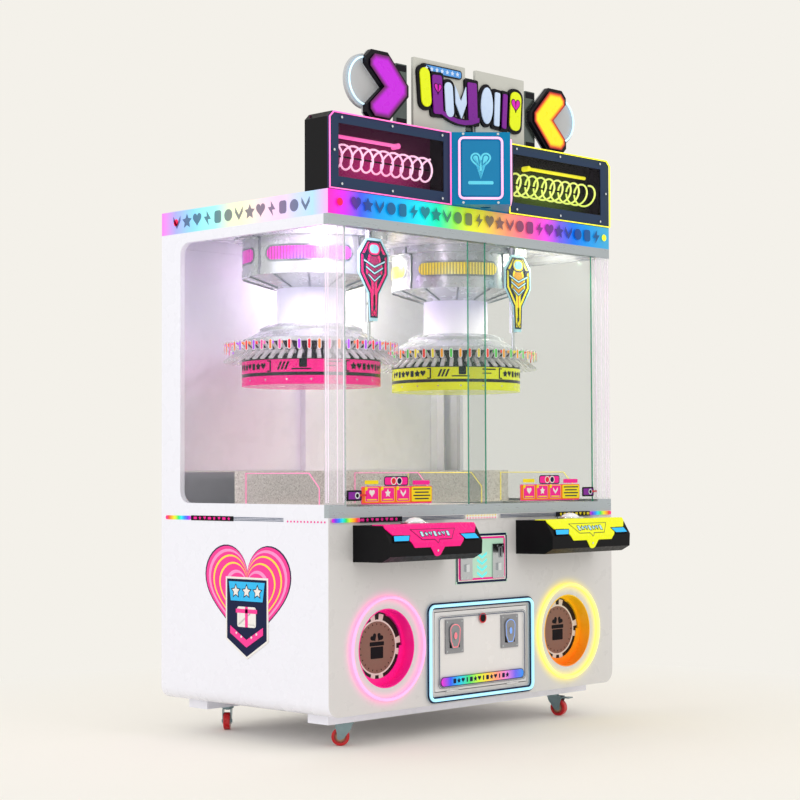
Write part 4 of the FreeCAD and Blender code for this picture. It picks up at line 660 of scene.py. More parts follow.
# %% Rainbow film
FRONT_FILM = [(0.00, "f92ac2"), (0.05, "da2cfd"), (0.10, "4a5cf8"), (0.15, "0b9ff8"), (0.22, "06bafc"),
              (0.30, "08f0fa"), (0.36, "12f5b8"), (0.41, "92fb5e"), (0.46, "eafd36"), (0.51, "fcf040"),
              (0.56, "fbbe6a"), (0.60, "fc9a78"), (0.66, "fc7498"), (0.71, "f852d0"), (0.75, "ec50f4"),
              (0.80, "785cf2"), (0.85, "0a74fa"), (0.91, "0498f4"), (1.00, "42aad8")]
SIDE_FILM = [(0.00, "efadee"), (0.09, "b2dcf9"), (0.18, "ccd8fd"), (0.28, "f7d0f6"), (0.38, "fddce8"),
             (0.50, "fefbd2"), (0.58, "e6fed5"), (0.66, "a6fef7"), (0.80, "8edafc"), (0.91, "a9acf8"),
             (1.00, "f67fe9")]


def film(name, shade=1.0, glow=0.22):
    """Rainbow film; a shade under 1 mixes it with ink."""
    finish, tree, vector, axes = start_finish(name)
    along = spread(tree, axes[0], -HALF, HALF)
    back = spread(tree, axes[1], FRONT, REAR)
    front_colour = ramp(tree, along, [(place, tint(code)) for place, code in FRONT_FILM])
    side_colour = ramp(tree, back, [(place, tint(code)) for place, code in SIDE_FILM])
    on_side_face = maths(tree, "GREATER_THAN", maths(tree, "ABSOLUTE", axes[0]), HALF - 0.0004)
    colour = mix(tree, on_side_face, front_colour, side_colour)
    if shade < 1.0:
        colour = mix(tree, shade, tint("1c2466"), colour)
    return end_finish(finish, tree, vector, colour, rough=0.35, grain=10.0, drift=0.03, bump=0.0, glow=glow)


dress(film("rainbow_film"), "fascia_lightboxes")
print("film colours:", len(FRONT_FILM), "in front,", len(SIDE_FILM), "on a side")

# %% Icons on the fascia
FASCIA_Z = (fascia_low.z + fascia_high.z) / 2
printed = film("printed_film", shade=0.30, glow=0.0)
GLYPHS = [heart(0.046, 0.046), star(0.027), chevron(0.040, 0.046, 0.018), disc(0.021),
          rounded(0.036, 0.044, 0.010), bolt(0.038, 0.052)]
FRONT_ICONS, SIDE_ICONS = 24, 13
icons, lay = laying(on_front)
for i in range(FRONT_ICONS):
    lay(moved(GLYPHS[i % len(GLYPHS)], -0.625 + i * 1.29 / (FRONT_ICONS - 1), FASCIA_Z), FILM, printed)
settle(join(icons), "fascia_front_icons")
for side, s in SIDES.items():
    icons, lay = laying(lambda lift, s=s: on_side(s, lift), out=(s, 0, 0))
    for i in range(SIDE_ICONS):
        lay(moved(GLYPHS[(i + 2) % len(GLYPHS)], -0.24 + i * 0.68 / (SIDE_ICONS - 1), FASCIA_Z), FILM, printed)
    settle(join(icons), side + "_fascia_icons")
red_dot = plain("red_dot", "ff1450", rough=0.4, glow=0.3)
yellow_dot = plain("yellow_dot", "f6ff2c", rough=0.4, glow=0.3)
DOT_R = 0.013
dots = [plate(disc(DOT_R, -0.70, FASCIA_Z), on_front(FILM), FILM, [red_dot]),
        plate(disc(DOT_R, 0.712, FASCIA_Z), on_front(FILM), FILM, [yellow_dot]),
        plate(disc(DOT_R, 0.445, FASCIA_Z), on_side(-1, FILM), FILM, [red_dot], out=(-1, 0, 0))]
settle(join(dots), "fascia_dots")
print("fascia icons:", FRONT_ICONS, "in front,", SIDE_ICONS, "on each side")

# %% [markdown]
# ## The marquee
# Two dark light boxes stand on the roof, with a wedge-shaped pod between them. One node holds all three, so
# its finish goes by place: the pod is teal, the boxes' front is a navy bezel and the rest is black. A light
# line runs round each box's front edge, and small screws hold the bezels.

# %% Marquee finishes
marquee_low, marquee_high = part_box("marquee_boxes")
MARQUEE_TOP = marquee_high.z
MARQUEE_BOTTOM = fascia_high.z
MARQUEE_MIDDLE = (MARQUEE_TOP + MARQUEE_BOTTOM) / 2
POD_X = 0.155
POD_TIP = marquee_low.y
finish, tree, vector, axes = start_finish("marquee_sheets")
in_pod = maths(tree, "LESS_THAN", maths(tree, "ABSOLUTE", axes[0]), POD_X + 0.0004)
at_front = maths(tree, "LESS_THAN", axes[1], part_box("marquee_windows")[0].y - 0.0004)
teal = mix(tree, noise(tree, vector, 3.0), tint("00709c"), tint("008ac0"))
sheets = mix(tree, in_pod, mix(tree, at_front, tint("0c0c10"), tint("2a3e5e")), teal)
# The pod's teal glow is painted light.
end_finish(finish, tree, vector, sheets, rough=0.4, grain=60.0, drift=0.08, bump=0.05, shine=0.15,
           glow=maths(tree, "MULTIPLY", in_pod, 0.12))
dress(finish, "marquee_boxes")

neon = {"left": glow_finish("pink_neon", "ffe0f2", "ff7cc8", 1.15),
        "right": glow_finish("yellow_neon", "fbff9c", "d8ff1c", 1.05)}
edge = {"left": glow_finish("pink_line", "ff7fc4", "ff2fa4", 1.0),
        "right": glow_finish("yellow_line", "fff23a", "e8e800", 1.0)}
chrome_screw = plain("screw_head", "dfe6ea", rough=0.2, metal=0.9, grain=200.0, drift=0.1, bump=0.05)
print("marquee from", round(MARQUEE_BOTTOM, 3), "to", round(MARQUEE_TOP, 3))


# %% Edge lights and screws
def screw(u, v, place, out=TOWARDS_PLAYER, radius=0.0045):
    """Low screw head with a ring round its middle."""
    return plate(disc(radius, u, v, 12), place, 0.0012, [chrome_screw, chrome_screw], rings=(radius * 0.35,),
                 out=out)


EDGE_INSET = 0.003
BEVEL = 0.019
screws = []
for side, s in SIDES.items():
    y = FRONT - 0.0010
    inner, outer = s * (POD_X + EDGE_INSET), s * (HALF - EDGE_INSET)
    low, high = MARQUEE_BOTTOM + EDGE_INSET, MARQUEE_TOP - EDGE_INSET
    line = [(inner, y, low), (inner, y, high), (outer - s * BEVEL, y, high), (outer, y, high - BEVEL),
            (outer, y, low)]
    settle(rod(line, 0.0028, edge[side], closed=True), side + "_marquee_edge_light")
    for x in (0.20, 0.45, 0.69):
        screws.append(screw(s * x, MARQUEE_BOTTOM + 0.020, on_front(0.0012)))
        screws.append(screw(s * x, MARQUEE_TOP - 0.018, on_front(0.0012)))
    screws.append(screw(s * 0.725, MARQUEE_MIDDLE, on_front(0.0012)))
print("marquee edge lights: 2, screws:", len(screws))
settle(join(screws), "marquee_screws")

# %% [markdown]
# Behind each window hangs a coil of neon. The frame has rings on a carrier rod; the real tube is one long
# helix, so a helix takes their place, made as a round bevel along a line of points. A tinted back wall, with
# the coil's light painted on it as a brighter colour and a glow near the coil, and a lit rail above the coil
# give the box its depth of colour.

# %% Neon coils
COIL_FROM, COIL_TO = 0.202, 0.688
COIL_R, COIL_TURNS, STEPS_PER_TURN = 0.041, 10, 20
COIL_Y, COIL_Z = FRONT + 0.056, 1.990
RAIL_Y, RAIL_Z, RAIL_END = COIL_Y + 0.020, 2.062, 0.350
replaced = []
box_wall_painted_light = {"left": ("4a0a34", "c8107c"), "right": ("12160a", "4c6a08")}
for side, s in SIDES.items():
    helix = []
    for i in range(COIL_TURNS * STEPS_PER_TURN + 1):
        t = i / (COIL_TURNS * STEPS_PER_TURN)
        a = math.tau * COIL_TURNS * t
        helix.append((s * (COIL_FROM + (COIL_TO - COIL_FROM) * t), COIL_Y + COIL_R * math.sin(a),
                      COIL_Z + COIL_R * math.cos(a)))
    coil = settle(rod(helix, 0.0036, neon[side], sides=2), side + "_neon_coil", smooth=60)
    replaced.append(coil)
    rail = [(s * 0.690, RAIL_Y, RAIL_Z), (s * RAIL_END, RAIL_Y, RAIL_Z)]
    bracket = [(s * RAIL_END, RAIL_Y - 0.008, RAIL_Z), (s * RAIL_END, RAIL_Y + 0.022, RAIL_Z)]
    carrier = [(s * COIL_FROM, COIL_Y, COIL_Z), (s * COIL_TO, COIL_Y, COIL_Z)]
    rails = [rod(rail, 0.0065, edge[side]), rod(bracket, 0.010, edge[side]), rod(carrier, 0.003, black)]
    settle(join(rails), side + "_coil_rail", smooth=40)

    finish, tree, vector, axes = start_finish(side + "_box_wall_painted_light", (s * 0.45, 0.0, COIL_Z - 0.03))
    # Painted light: the wall is painted brighter and glows near the coil, as if lit by it.
    away = distance(tree, axes[0], maths(tree, "MULTIPLY", axes[2], 2.4))
    painted_coil_light = maths(tree, "SUBTRACT", 1.0, spread(tree, away, 0.0, 0.30))
    colour = mix(tree, painted_coil_light, tint(box_wall_painted_light[side][0]), tint(box_wall_painted_light[side][1]))
    end_finish(finish, tree, vector, colour, rough=0.5, grain=20.0, drift=0.2, bump=0.05, glow=0.35)
    wall = plate(rounded(0.586, 0.250, 0.004, s * 0.4525, MARQUEE_MIDDLE),
                 on_front(0.0, y=FRONT + 0.098), 0.002, [finish])
    settle(wall, side + "_box_back")
print("coils:", COIL_TURNS, "turns each")

# %% [markdown]
# The pod's two front faces meet at a vertical edge. Each carries a rounded rectangle of pale pink neon with a
# generic badge inside. The faces are slanted, so a face frame is worked out from the pod's tip and corner, and
# the lines and plates are laid in that frame.

# %% Pod neon
# The pod's badge and panel colours glow a little: painted light, as the pod is no lamp.
pod_badge = plain("pod_badge", "5fd0e8", rough=0.35, glow=0.25)
pod_pink = glow_finish("pod_neon", "ffc4e0", "ff8ac0", 0.8)
pod_pieces = []
for side, s in SIDES.items():
    tip = Vector((0.0, POD_TIP, 0.0))
    corner = Vector((s * POD_X, FRONT, 0.0))
    along = (corner - tip).normalized()
    normal = Vector((s * along.y, -abs(along.x), 0.0)).normalized()
    middle = (tip + corner) / 2 + Vector((0, 0, MARQUEE_MIDDLE + 0.002))

    def face(lift, m=middle, a=along, n=normal):
        return lambda u, v: m + a * u + n * lift + Vector((0, 0, v))

    pod_pieces.append(rod([face(0.003)(u, v) for u, v in rounded(0.152, 0.215, 0.016)], 0.0042, pod_pink,
                          closed=True))
    panel = plain(side + "_pod_panel", "067fb4", rough=0.35, glow=0.10)
    pieces, lay = laying(face, out=normal)
    lay(rounded(0.132, 0.195, 0.010), 0.001, panel)
    lay(heart(0.074, 0.066, 0, 0.022), 0.0022, pod_badge, panel, pod_badge, rings=(0.006, 0.004), thick=0.0012)
    lay(rounded(0.090, 0.012, 0.005, 0, -0.052), 0.0022, pod_badge, thick=0.0012)
    corners = [(u, v) for u in (-0.062, 0.062) for v in (-0.122, 0.122)]
    pod_pieces += pieces + [screw(u, v, face(0.0012), out=normal) for u, v in corners]
settle(join(pod_pieces), "pod_face_lights")
print("pod faces: 2")

# %% [markdown]
# ## The sign
# Three posts carry a pale board in two halves, with the middle post showing in the gap, and a title in thick
# cut letters. The letters are replaced by a row of chunky icons of the same sizes and colours. Black backs,
# wider than the icons, overlap into one dark contour, as the cut board behind the letters does. The whole sign
# is one piece and stands for the frame's plain board.

# %% Sign finishes
SIGN_Y = FRONT + 0.059
board = plain("sign_grey", "cfd0ca", rough=0.45, grain=12.0, drift=0.05, bump=0.03)
post_metal = plain("post_steel", "6f7a78", rough=0.22, metal=0.8, grain=9.0, drift=0.55, bump=0.03,
                   brushed=(2.0, 2.0, 0.6))
sign_black = plain("sign_black", "0d0b16", rough=0.4, shine=0.15)
# The title colours glow a little: painted light, as the letters are no lamp.
sign_purple = plain("title_purple", "80129a", rough=0.3, glow=0.08)
sign_yellow = plain("title_yellow", "e8f608", rough=0.3, glow=0.10)
sign_blue = plain("title_pale_blue", "cfe2ff", rough=0.3, glow=0.10)
sign_pink = plain("title_pink", "e010c0", rough=0.3, glow=0.1)
small_plate_blue = plain("small_plate_blue", "4f9ff0", rough=0.3, coat=0.3)
print("sign plane", round(SIGN_Y, 3))

# %% Posts and boards
POST_TOP = 2.350
sign_pieces, lay = laying(lambda lift: on_front(lift, y=SIGN_Y))
for x, foot in ((-0.345, MARQUEE_TOP), (0.0, MARQUEE_BOTTOM), (0.345, MARQUEE_TOP)):
    lay(rounded(0.055, POST_TOP - foot, 0.003, x, (POST_TOP + foot) / 2), 0.0, post_metal, thick=0.016)
    for z in (MARQUEE_TOP + 0.02, POST_TOP - 0.015):
        lay(rounded(0.049, 0.022, 0.002, x, z), 0.0008, sign_black, thick=0.001)
for s in (-1, 1):
    lay(rounded(0.2695, 0.247, 0.004, s * 0.16225, 2.2585), 0.012, board, thick=0.011)
print("posts: 3, boards: 2")

# %% Title icons
TITLE = [(rounded(0.050, 0.138, 0.024), -0.246, 2.280, 5, sign_yellow),
         (rounded(0.050, 0.138, 0.010), -0.184, 2.262, 3, sign_purple),
         (rounded(0.042, 0.124, 0.020), -0.124, 2.252, 4, sign_blue),
         (chevron(0.058, 0.118, 0.062), -0.062, 2.250, 2, sign_blue),
         (rounded(0.048, 0.144, 0.006), 0.000, 2.258, 2, sign_purple),
         (disc(0.032, tall=2.1), 0.078, 2.258, -2, sign_blue),
         (rounded(0.028, 0.124, 0.006), 0.134, 2.252, -3, sign_blue),
         (rounded(0.024, 0.128, 0.006), 0.176, 2.250, -4, sign_purple),
         (rounded(0.060, 0.144, 0.026), 0.236, 2.258, -4, sign_yellow)]
BORDER = 0.024
for outline, x, z, turn, _ in TITLE:
    wide, tall = max(u for u, _ in outline) * 2, max(v for _, v in outline) * 2
    grown = [(u * (1 + BORDER / wide), v * (1 + BORDER / tall)) for u, v in outline]
    lay(moved(grown, x, z, turn), 0.0205, sign_black, thick=0.0085)
for outline, x, z, turn, colour in TITLE:
    lay(moved(outline, x, z, turn), 0.0240, colour, thick=0.0035)
for x, z, width in ((-0.184, 2.282, 0.040), (0.236, 2.278, 0.050)):
    lay(heart(width, width, x, z), 0.0250, sign_black, sign_pink, rings=(0.003,), thick=0.0012)
sash = [(u, 2.192 + 2.2 * (u + 0.06) ** 2) for u in (-0.20, -0.16, -0.12, -0.08, -0.04, 0.0, 0.04)]
sash += [(u, v - 0.026) for u, v in reversed(sash)]
lay(sash, 0.0235, sign_black, sign_purple, rings=(0.0045,), thick=0.0115)
lay(rounded(0.210, 0.032, 0.012, -0.158, 2.349), 0.020, sign_black, small_plate_blue, rings=(0.004,),
    thick=0.008)
for i in range(7):
    lay(star(0.0095, -0.238 + i * 0.0268, 2.349), 0.0208, sign_blue, thick=0.0008)
sign = settle(join(sign_pieces), "sign_title_board")
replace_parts(sign, "sign_board")
print("title icons:", len(TITLE))

# %% [markdown]
# The two arrow emblems glow: bright in the middle and darker towards the rim. An inset face in several narrow
# rings, each with a slightly different finish, gives that blend with plain geometry. The round discs behind
# them are grey with a ring of pale blue neon.

# %% Arrow emblems and discs
finish, tree, vector, axes = start_finish("emblem_bodies")
body_front = maths(tree, "LESS_THAN", axes[1], SIGN_Y - 0.0004)
end_finish(finish, tree, vector, mix(tree, body_front, tint("c6c8cc"), tint("14121c")), rough=0.35, grain=30.0,
           drift=0.06, bump=0.03, shine=0.15)
dress(finish, "sign_emblems")
shades = {"left": ["6a0c64", "7c0a80", "9408a4", "ae06c4", "c004dc", "cc08ea"],
          "right": ["a01408", "e03c06", "ff8206", "ffb806", "ffe208", "fff60c"]}
POINT_X, BACK_X, ARROW_Z, REACH, BLUNT, CUT = 0.328, 0.535, 2.252, 0.122, 0.019, 0.025
shoulder = POINT_X + REACH - BLUNT
upper = [(POINT_X, BLUNT), (shoulder, REACH), (BACK_X - CUT, REACH), (BACK_X, REACH - CUT), (BACK_X, 0.072)]
lower = [(u, -v) for u, v in reversed(upper)]
arrow = [lower[-1]] + upper + [(POINT_X + 0.128, 0.0)] + lower[:-1]
arrow_face = [(0.425 + (u - 0.425) * 0.86 + 0.001, ARROW_Z + v * 0.88) for u, v in arrow]
DISC_X, DISC_Z, DISC_RING_R = 0.517, 2.265, 0.083
rings = []
for side, s in SIDES.items():
    glows = [plain(side + "_emblem_" + str(i), code, rough=0.3, glow=0.10, coat=0.3)
             for i, code in enumerate(shades[side])]
    glow_face = plate([(s * u, v) for u, v in arrow_face], on_front(0.0256, y=SIGN_Y), 0.0012, glows,
                      rings=(0.0035,) * 5)
    settle(glow_face, side + "_emblem_glow")
    circle = [(u, SIGN_Y - 0.002, v) for u, v in disc(DISC_RING_R, s * DISC_X, DISC_Z, 48)]
    rings.append(rod(circle, 0.0032, glow_finish(side + "_disc_neon", "d6f4ff", "7fc8ff", 1.0), closed=True))
settle(join(rings), "disc_neon_rings")
print("emblems: 2")

# %% [markdown]
# ## The turrets
# Each turret is a spun metal canopy in satin silver, with four lit slots round it, a glowing column and a
# silver skirt above the drum. The slots are long in one direction and follow a cylinder, so the plate maker
# gets upright cuts every few degrees and a `place` that winds the flat outline round the turret's axis.

# %% Plates wound round a turret
def on_drum(x, radius, lift, turn=0.0):
    """(u, v) to a cylinder about the turret axis at x: u runs round it from turn degrees, v is height."""
    def place(u, v):
        a = math.radians(turn) + u / radius
        return Vector((x + (radius + lift) * math.cos(a), TURRET_Y + (radius + lift) * math.sin(a), v))
    return place


def wound(outline, x, radius, lift, turn, finishes, rings=(), thick=0.0012):
    """Plate on a cylinder, cut upright every 15 mm so that it follows the curve."""
    low, high = min(u for u, _ in outline), max(u for u, _ in outline)
    cuts = max(1, round((high - low) / 0.015))
    a = math.radians(turn)
    return plate(outline, on_drum(x, radius, lift, turn), thick, finishes, rings=rings,
                 columns=[low + (high - low) * i / cuts for i in range(1, cuts)],
                 out=(math.cos(a), math.sin(a), 0.0))


def turned(piece, x, angle):
    """Copy with its own mesh, turned about the turret axis at x."""
    copy = piece.copy()
    copy.data = piece.data.copy()
    axis = Matrix.Translation((x, TURRET_Y, 0.0))
    copy.data.transform(axis @ Matrix.Rotation(math.radians(angle), 4, "Z") @ axis.inverted())
    bpy.context.collection.objects.link(copy)
    return copy


def spoke(x, angle, profile, radius, finish):
    """Bar along a profile of (distance from the turret axis, height), at one angle round it."""
    c, n = math.cos(math.radians(angle)), math.sin(math.radians(angle))
    return rod([(x + r * c, TURRET_Y + r * n, z) for r, z in profile], radius, finish)


print("turret axes at", [round(s * TURRET_X, 3) for s in SIDES.values()])

# %% Turret finishes
silver = plain("turret_silver", "dde1e6", rough=0.26, metal=0.45, grain=22.0, drift=0.10, bump=0.04)
silver_seam = plain("turret_seam", "9ea3a9", rough=0.35, metal=0.8, grain=22.0, drift=0.10, bump=0.04)
dress(silver, "turret_canopies", "turret_skirts")
finish, tree, vector, axes = start_finish("lit_column")
colour = mix(tree, spread(tree, axes[2], 1.44, 1.60), tint("fbf8ff"), tint("d9d3f2"))
end_finish(finish, tree, vector, colour, rough=0.25, grain=9.0, drift=0.08, bump=0.0, glow=0.42, coat=0.4)
dress(finish, "turret_columns")
print("turret finishes done")

# %% Lit slots, seams and ribs
CANOPY_R, SLOT_Z = 0.247, 1.696
SEAM = ((0.2780, 1.783), (0.2780, 1.760), (0.2485, 1.757), (0.2485, 1.650), (0.2515, 1.646), (0.2515, 1.626))
RIB = ((0.246, 1.621), (0.136, 1.587))
led_codes = {"left": ("ff4fd8", "a77bff"), "right": ("ffe23c", "fff8a0")}
for side, s in SIDES.items():
    x = s * TURRET_X
    finish, tree, vector, axes = start_finish(side + "_led", (x, TURRET_Y, 0.0))
    round_axis = maths(tree, "ARCTAN2", axes[1], axes[0])
    rib = maths(tree, "SINE", maths(tree, "MULTIPLY", round_axis, 130.0))
    drift = spread(tree, noise(tree, vector, 5.0), 0.4, 0.6)
    colour = mix(tree, drift, tint(led_codes[side][0]), tint(led_codes[side][1]))
    colour = mix(tree, spread(tree, rib, -0.9, 0.9), mix(tree, 0.65, colour, tint("5a5060")), colour)
    end_finish(finish, tree, vector, colour, rough=0.3, drift=0.02, bump=0.0, glow=0.40)
    slot = wound(rounded(0.330, 0.060, 0.029, 0.0, SLOT_Z), x, CANOPY_R, 0.0012, 45,
                 [silver_seam, silver_seam, finish], rings=(0.004, 0.003))
    pieces = [slot] + [turned(slot, x, turn) for turn in (90, 180, 270)]
    pieces += [spoke(x, turn, SEAM, 0.0045, silver_seam) for turn in (0, 90, 180, 270)]
    pieces += [spoke(x, 30 * i + 15, RIB, 0.0035, silver_seam) for i in range(12)]
    settle(join(pieces), side + "_turret_trim", smooth=35)
print("lit slots: 8, seams: 8, cone ribs: 24")

# %% [markdown]
# ## The drums
# A drum is a wide band of hot pink or yellow plastic that turns under its clips. A black stripe runs round it,
# the top behind the clips is black, and black graphics repeat three times round the side. Stripes come from
# the material, by height. The graphics are thin plates that ride on the turning drum.

# %% Drum plastic
ink = plain("drum_ink", "0e0812", rough=0.45, grain=50.0, drift=0.2, bump=0.03, shine=0.12)
drum_codes = {"left": "ff0490", "right": "eef800"}
DRUM_R = 0.250
for side, s in SIDES.items():
    finish, tree, vector, axes = start_finish(side + "_drum_plastic", (s * TURRET_X, TURRET_Y, 0.0))
    stripe = between(tree, axes[2], 1.2655, 1.2775)
    black_part = maths(tree, "MAXIMUM", stripe, maths(tree, "GREATER_THAN", axes[2], 1.322))
    colour = mix(tree, black_part, tint(drum_codes[side]), tint("140a18"))
    # The glow is painted light that brightens the drum plastic, which is no lamp.
    end_finish(finish, tree, vector, colour, rough=0.24, grain=16.0, drift=0.05, bump=0.03, coat=0.15,
               glow=0.12)
    dress(finish, side + "_drum")
print("drum radius", DRUM_R)

# %% Drum graphics
MARK_Z = 1.299
marks = []
for k in (-1, 1):
    marks += [rounded(0.006, 0.040, 0.002, k * 0.122, MARK_Z), rounded(0.016, 0.005, 0.002, k * 0.116, 1.281),
              rounded(0.016, 0.005, 0.002, k * 0.116, 1.317)]
for i in range(8):
    u = -0.090 + 0.0257 * i
    marks.append((star(0.0145, u, MARK_Z, waist=0.6), heart(0.023, 0.023, u, MARK_Z),
                  rounded(0.017, 0.023, 0.004, u, MARK_Z))[i % 3])
for i in range(3):
    u = 0.150 + 0.014 * i
    marks.append([(u, 1.286), (u + 0.008, 1.286), (u + 0.020, 1.314), (u + 0.012, 1.314)])
marks += [rounded(0.070, 0.005, 0.002, 0.240, 1.288), rounded(0.060, 0.005, 0.002, -0.170, 1.314),
          rounded(0.040, 0.004, 0.002, -0.180, MARK_Z), rounded(0.028, 0.030, 0.004, 0.246, 1.308)]
for side, s in SIDES.items():
    x = s * TURRET_X
    start = -76 if s < 0 else -68
    graphics = join([wound(outline, x, DRUM_R, 0.0002, start, [ink], thick=FILM) for outline in marks])
    head = wound(disc(0.0032, 0.0, 1.252, 8), x, DRUM_R, 0.0002, 7, [chrome_screw], thick=0.001)
    pieces = [graphics, turned(graphics, x, 120), turned(graphics, x, 240), head]
    pieces += [turned(head, x, 20 * i) for i in range(1, 18)]
    settle(join(pieces), side + "_drum_graphics", side + "_carousel")
print("drum marks:", len(marks), "repeated 3 times on each")

# %% [markdown]
# ## The clips
# Fifty-seven clear clips stand round each drum, and each has a coloured petal at the tip of its lever. Angle
# round the axis gives the tip's colour, and height and distance from the axis give the tip, so the fixed ring
# of clips and the one moving clip in front share one material.

# %% Clips
CLIPS = 57
petals = {"left": ["ff2038", "ff58b0", "c052ff", "ff8a3c"], "right": ["ffb01c", "fff23c", "58d858", "ff4638"]}
for side, s in SIDES.items():
    finish, tree, vector, axes = start_finish(side + "_clip_plastic", (s * TURRET_X, TURRET_Y, 0.0))
    turn = maths(tree, "ARCTAN2", axes[1], axes[0])
    share = maths(tree, "FRACT", maths(tree, "DIVIDE", maths(tree, "MULTIPLY", turn, float(CLIPS)),
                                       math.tau * 4))
    hues = ramp(tree, share, [(0.25 * i, tint(code)) for i, code in enumerate(petals[side])], steps=True)
    far = maths(tree, "GREATER_THAN", distance(tree, axes[0], axes[1]), 0.300)
    tip = maths(tree, "MULTIPLY", far, between(tree, axes[2], 1.358, 1.384))
    colour = mix(tree, tip, tint("f4f6fa"), hues)
    # The tips' glow is painted light that brightens their colour; the clips are no lamp.
    end_finish(finish, tree, vector, colour, rough=0.12, grain=40.0, drift=0.05, bump=0.0, coat=0.5,
               glow=maths(tree, "MULTIPLY", tip, 0.25))
    plug(tree, tree.nodes["Principled BSDF"].inputs["Alpha"], spread(tree, tip, -0.8, 1.0))
    dress(finish, side + "_clips", side + "_front_clip")
print("clip finishes: 2")

# %% [markdown]
# The petals themselves are upright leaves of clear plastic with a coloured middle, one on the outside of each
# lever's tip. Four are modelled, one for each colour, and turned copies go to each clip's angle. The front one
# rides on the moving lever.

# %% Petals
PETAL_R, PETAL_Z = 0.3175, 1.3712
clear_leaf = plain("clear_leaf", "f2f3f8", rough=0.15, grain=30.0, drift=0.05, coat=0.5)
for side, s in SIDES.items():
    x = s * TURRET_X
    # The petals' glow is painted light as well.
    shades = [plain(side + "_petal_" + str(i), code, rough=0.2, glow=0.15)
              for i, code in enumerate(petals[side])]
    first = [plate(rounded(0.0140, 0.0385, 0.0069, 0.0, PETAL_Z, 2), on_drum(x, PETAL_R, 0.0, -90), 0.0012,
                   [clear_leaf, shade], rings=(0.0024,)) for shade in shades]
    leaves = [turned(first[(i * 7 // 3) % 4], x, 360 * i / CLIPS) for i in range(CLIPS)]
    for leaf in first:
        bpy.data.objects.remove(leaf)
    settle(leaves[0], side + "_front_petal", side + "_front_clip")
    settle(join(leaves[1:]), side + "_petals", side + "_carousel")
print("petals:", 2 * CLIPS)

# %% [markdown]
# In front of each poker hangs a dagger-shaped plate in layers of printed acrylic: a pale blue border, a
# coloured blade with navy outlines, a pale window near the top and chevrons below. Each layer is the same
# outline drawn smaller, laid a millimetre in front of the one behind it.

# %% Pendants
pendant_low, pendant_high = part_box("poker_pendants")
navy = plain("print_navy", "101a44", rough=0.4, shine=0.15)
# The pale blue, window and blade prints glow a little: painted light, as the pendants are no lamp.
border_blue = plain("border_pale_blue", "b8ecf8", rough=0.3, coat=0.3, glow=0.10)
dress(border_blue, "poker_pendants")
window_blue = plain("window_pale_blue", "9fe4ff", rough=0.2, coat=0.4, glow=0.20)
blade_codes = {"left": ("ff0a7c", "b4106c"), "right": ("fff01c", "e8a81c")}


def blade(scale, x):
    """Pendant outline drawn in towards its own long axis."""
    w, tail = 0.075 * scale, 0.020 * scale
    low, high = pendant_low.z + 0.11 * (1 - scale), pendant_high.z - 0.09 * (1 - scale)
    half = [(tail, low), (tail * 1.25, low + 0.085), (w, 1.620), (w, high - 0.050), (w * 0.47, high)]
    return [(x + u, z) for u, z in half] + [(x - u, z) for u, z in reversed(half)]


for side, s in SIDES.items():
    x = s * TURRET_X
    bright = plain(side + "_blade", blade_codes[side][0], rough=0.25, coat=0.4, glow=0.12)
    dark = plain(side + "_blade_dark", blade_codes[side][1], rough=0.25, coat=0.4)
    pieces, lay = laying(lambda lift: on_front(lift, y=pendant_low.y))
    lay(blade(0.90, x), 0.0012, navy, bright, navy, rings=(0.006, 0.009))
    lay(blade(0.52, x), 0.0026, bright, dark, rings=(0.008,), thick=0.0014)
    lay(rounded(0.066, 0.052, 0.025, x, 1.707), 0.0030, navy, bright, window_blue, rings=(0.005, 0.006),
        thick=0.0018)
    lay(disc(0.007, x - 0.008, 1.715, 12), 0.0036, border_blue, thick=FILM)
    lay(moved(rounded(0.018, 0.018, 0.001), x, 1.484, 45), 0.0030, navy, bright, rings=(0.003,), thick=0.0018)
    lay(rounded(0.010, 0.050, 0.004, x, 1.522), 0.0026, navy, thick=0.0010)
    for z, width in ((1.655, 0.108), (1.632, 0.088), (1.606, 0.066)):
        lay(chevron(width, 0.034, 0.011, x, z), 0.0040, navy, border_blue, rings=(0.0025,), thick=0.0014)
    for k in (-1, 1):
        barb = [(x + k * 0.066, 1.690), (x + k * 0.030, 1.662), (x + k * 0.040, 1.690)]
        lay(barb, 0.0036, navy, thick=0.0010)
    settle(join(pieces), side + "_pendant_print")
print("pendants: 2")

# %% [markdown]
# ## Posts, window locks and stickers
# Strips of white light stand inside the two clear corner posts. Each sliding pane has a dark lock block with a
# red tab on its outer edge, and a row of printed panels with instructions. Those panels keep their colours and
# sizes, with plain shapes where the words and pictures were, and they ride on the sliding panes.

# %% Corner light strips
post_low, post_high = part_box("corner_posts")
strip_light = glow_finish("strip_light", "fbf4ff", "ffc8f0", 0.30)
strips = []
for s in (-1, 1):
    for x, y in ((0.745, post_low.y + 0.006), (0.704, post_low.y + 0.005), (0.674, post_low.y + 0.006),
                 (0.745, post_high.y - 0.004)):
        ends = [(s * x, y, post_low.z + 0.006), (s * x, y, post_high.z - 0.006)]
        strips.append(rod(ends, 0.0016, strip_light))
print("corner strips:", len(strips))
settle(join(strips), "corner_light_strips")

# %% Printing colours
magenta = plain("print_magenta", "ff0c9c", rough=0.4)
lemon = plain("print_lemon", "fbe600", rough=0.4)
orange = plain("print_orange", "ff7210", rough=0.4)
paper = plain("print_white", "f6f3f0", rough=0.4, coat=0.2)
# The cyan print's glow is painted light.
cyan = plain("print_cyan", "14b8f4", rough=0.3, coat=0.4, glow=0.10)
red_tab = plain("lock_tab_red", "e01222", rough=0.3, coat=0.4)
grey_line = plain("print_grey", "4c5a78", rough=0.4)
print("printing colours: 7")

# %% [markdown]
# A sticker is built in layers, each a film's thickness further out than the one under it: the sheet, the panels
# on it, and the marks on the panels.

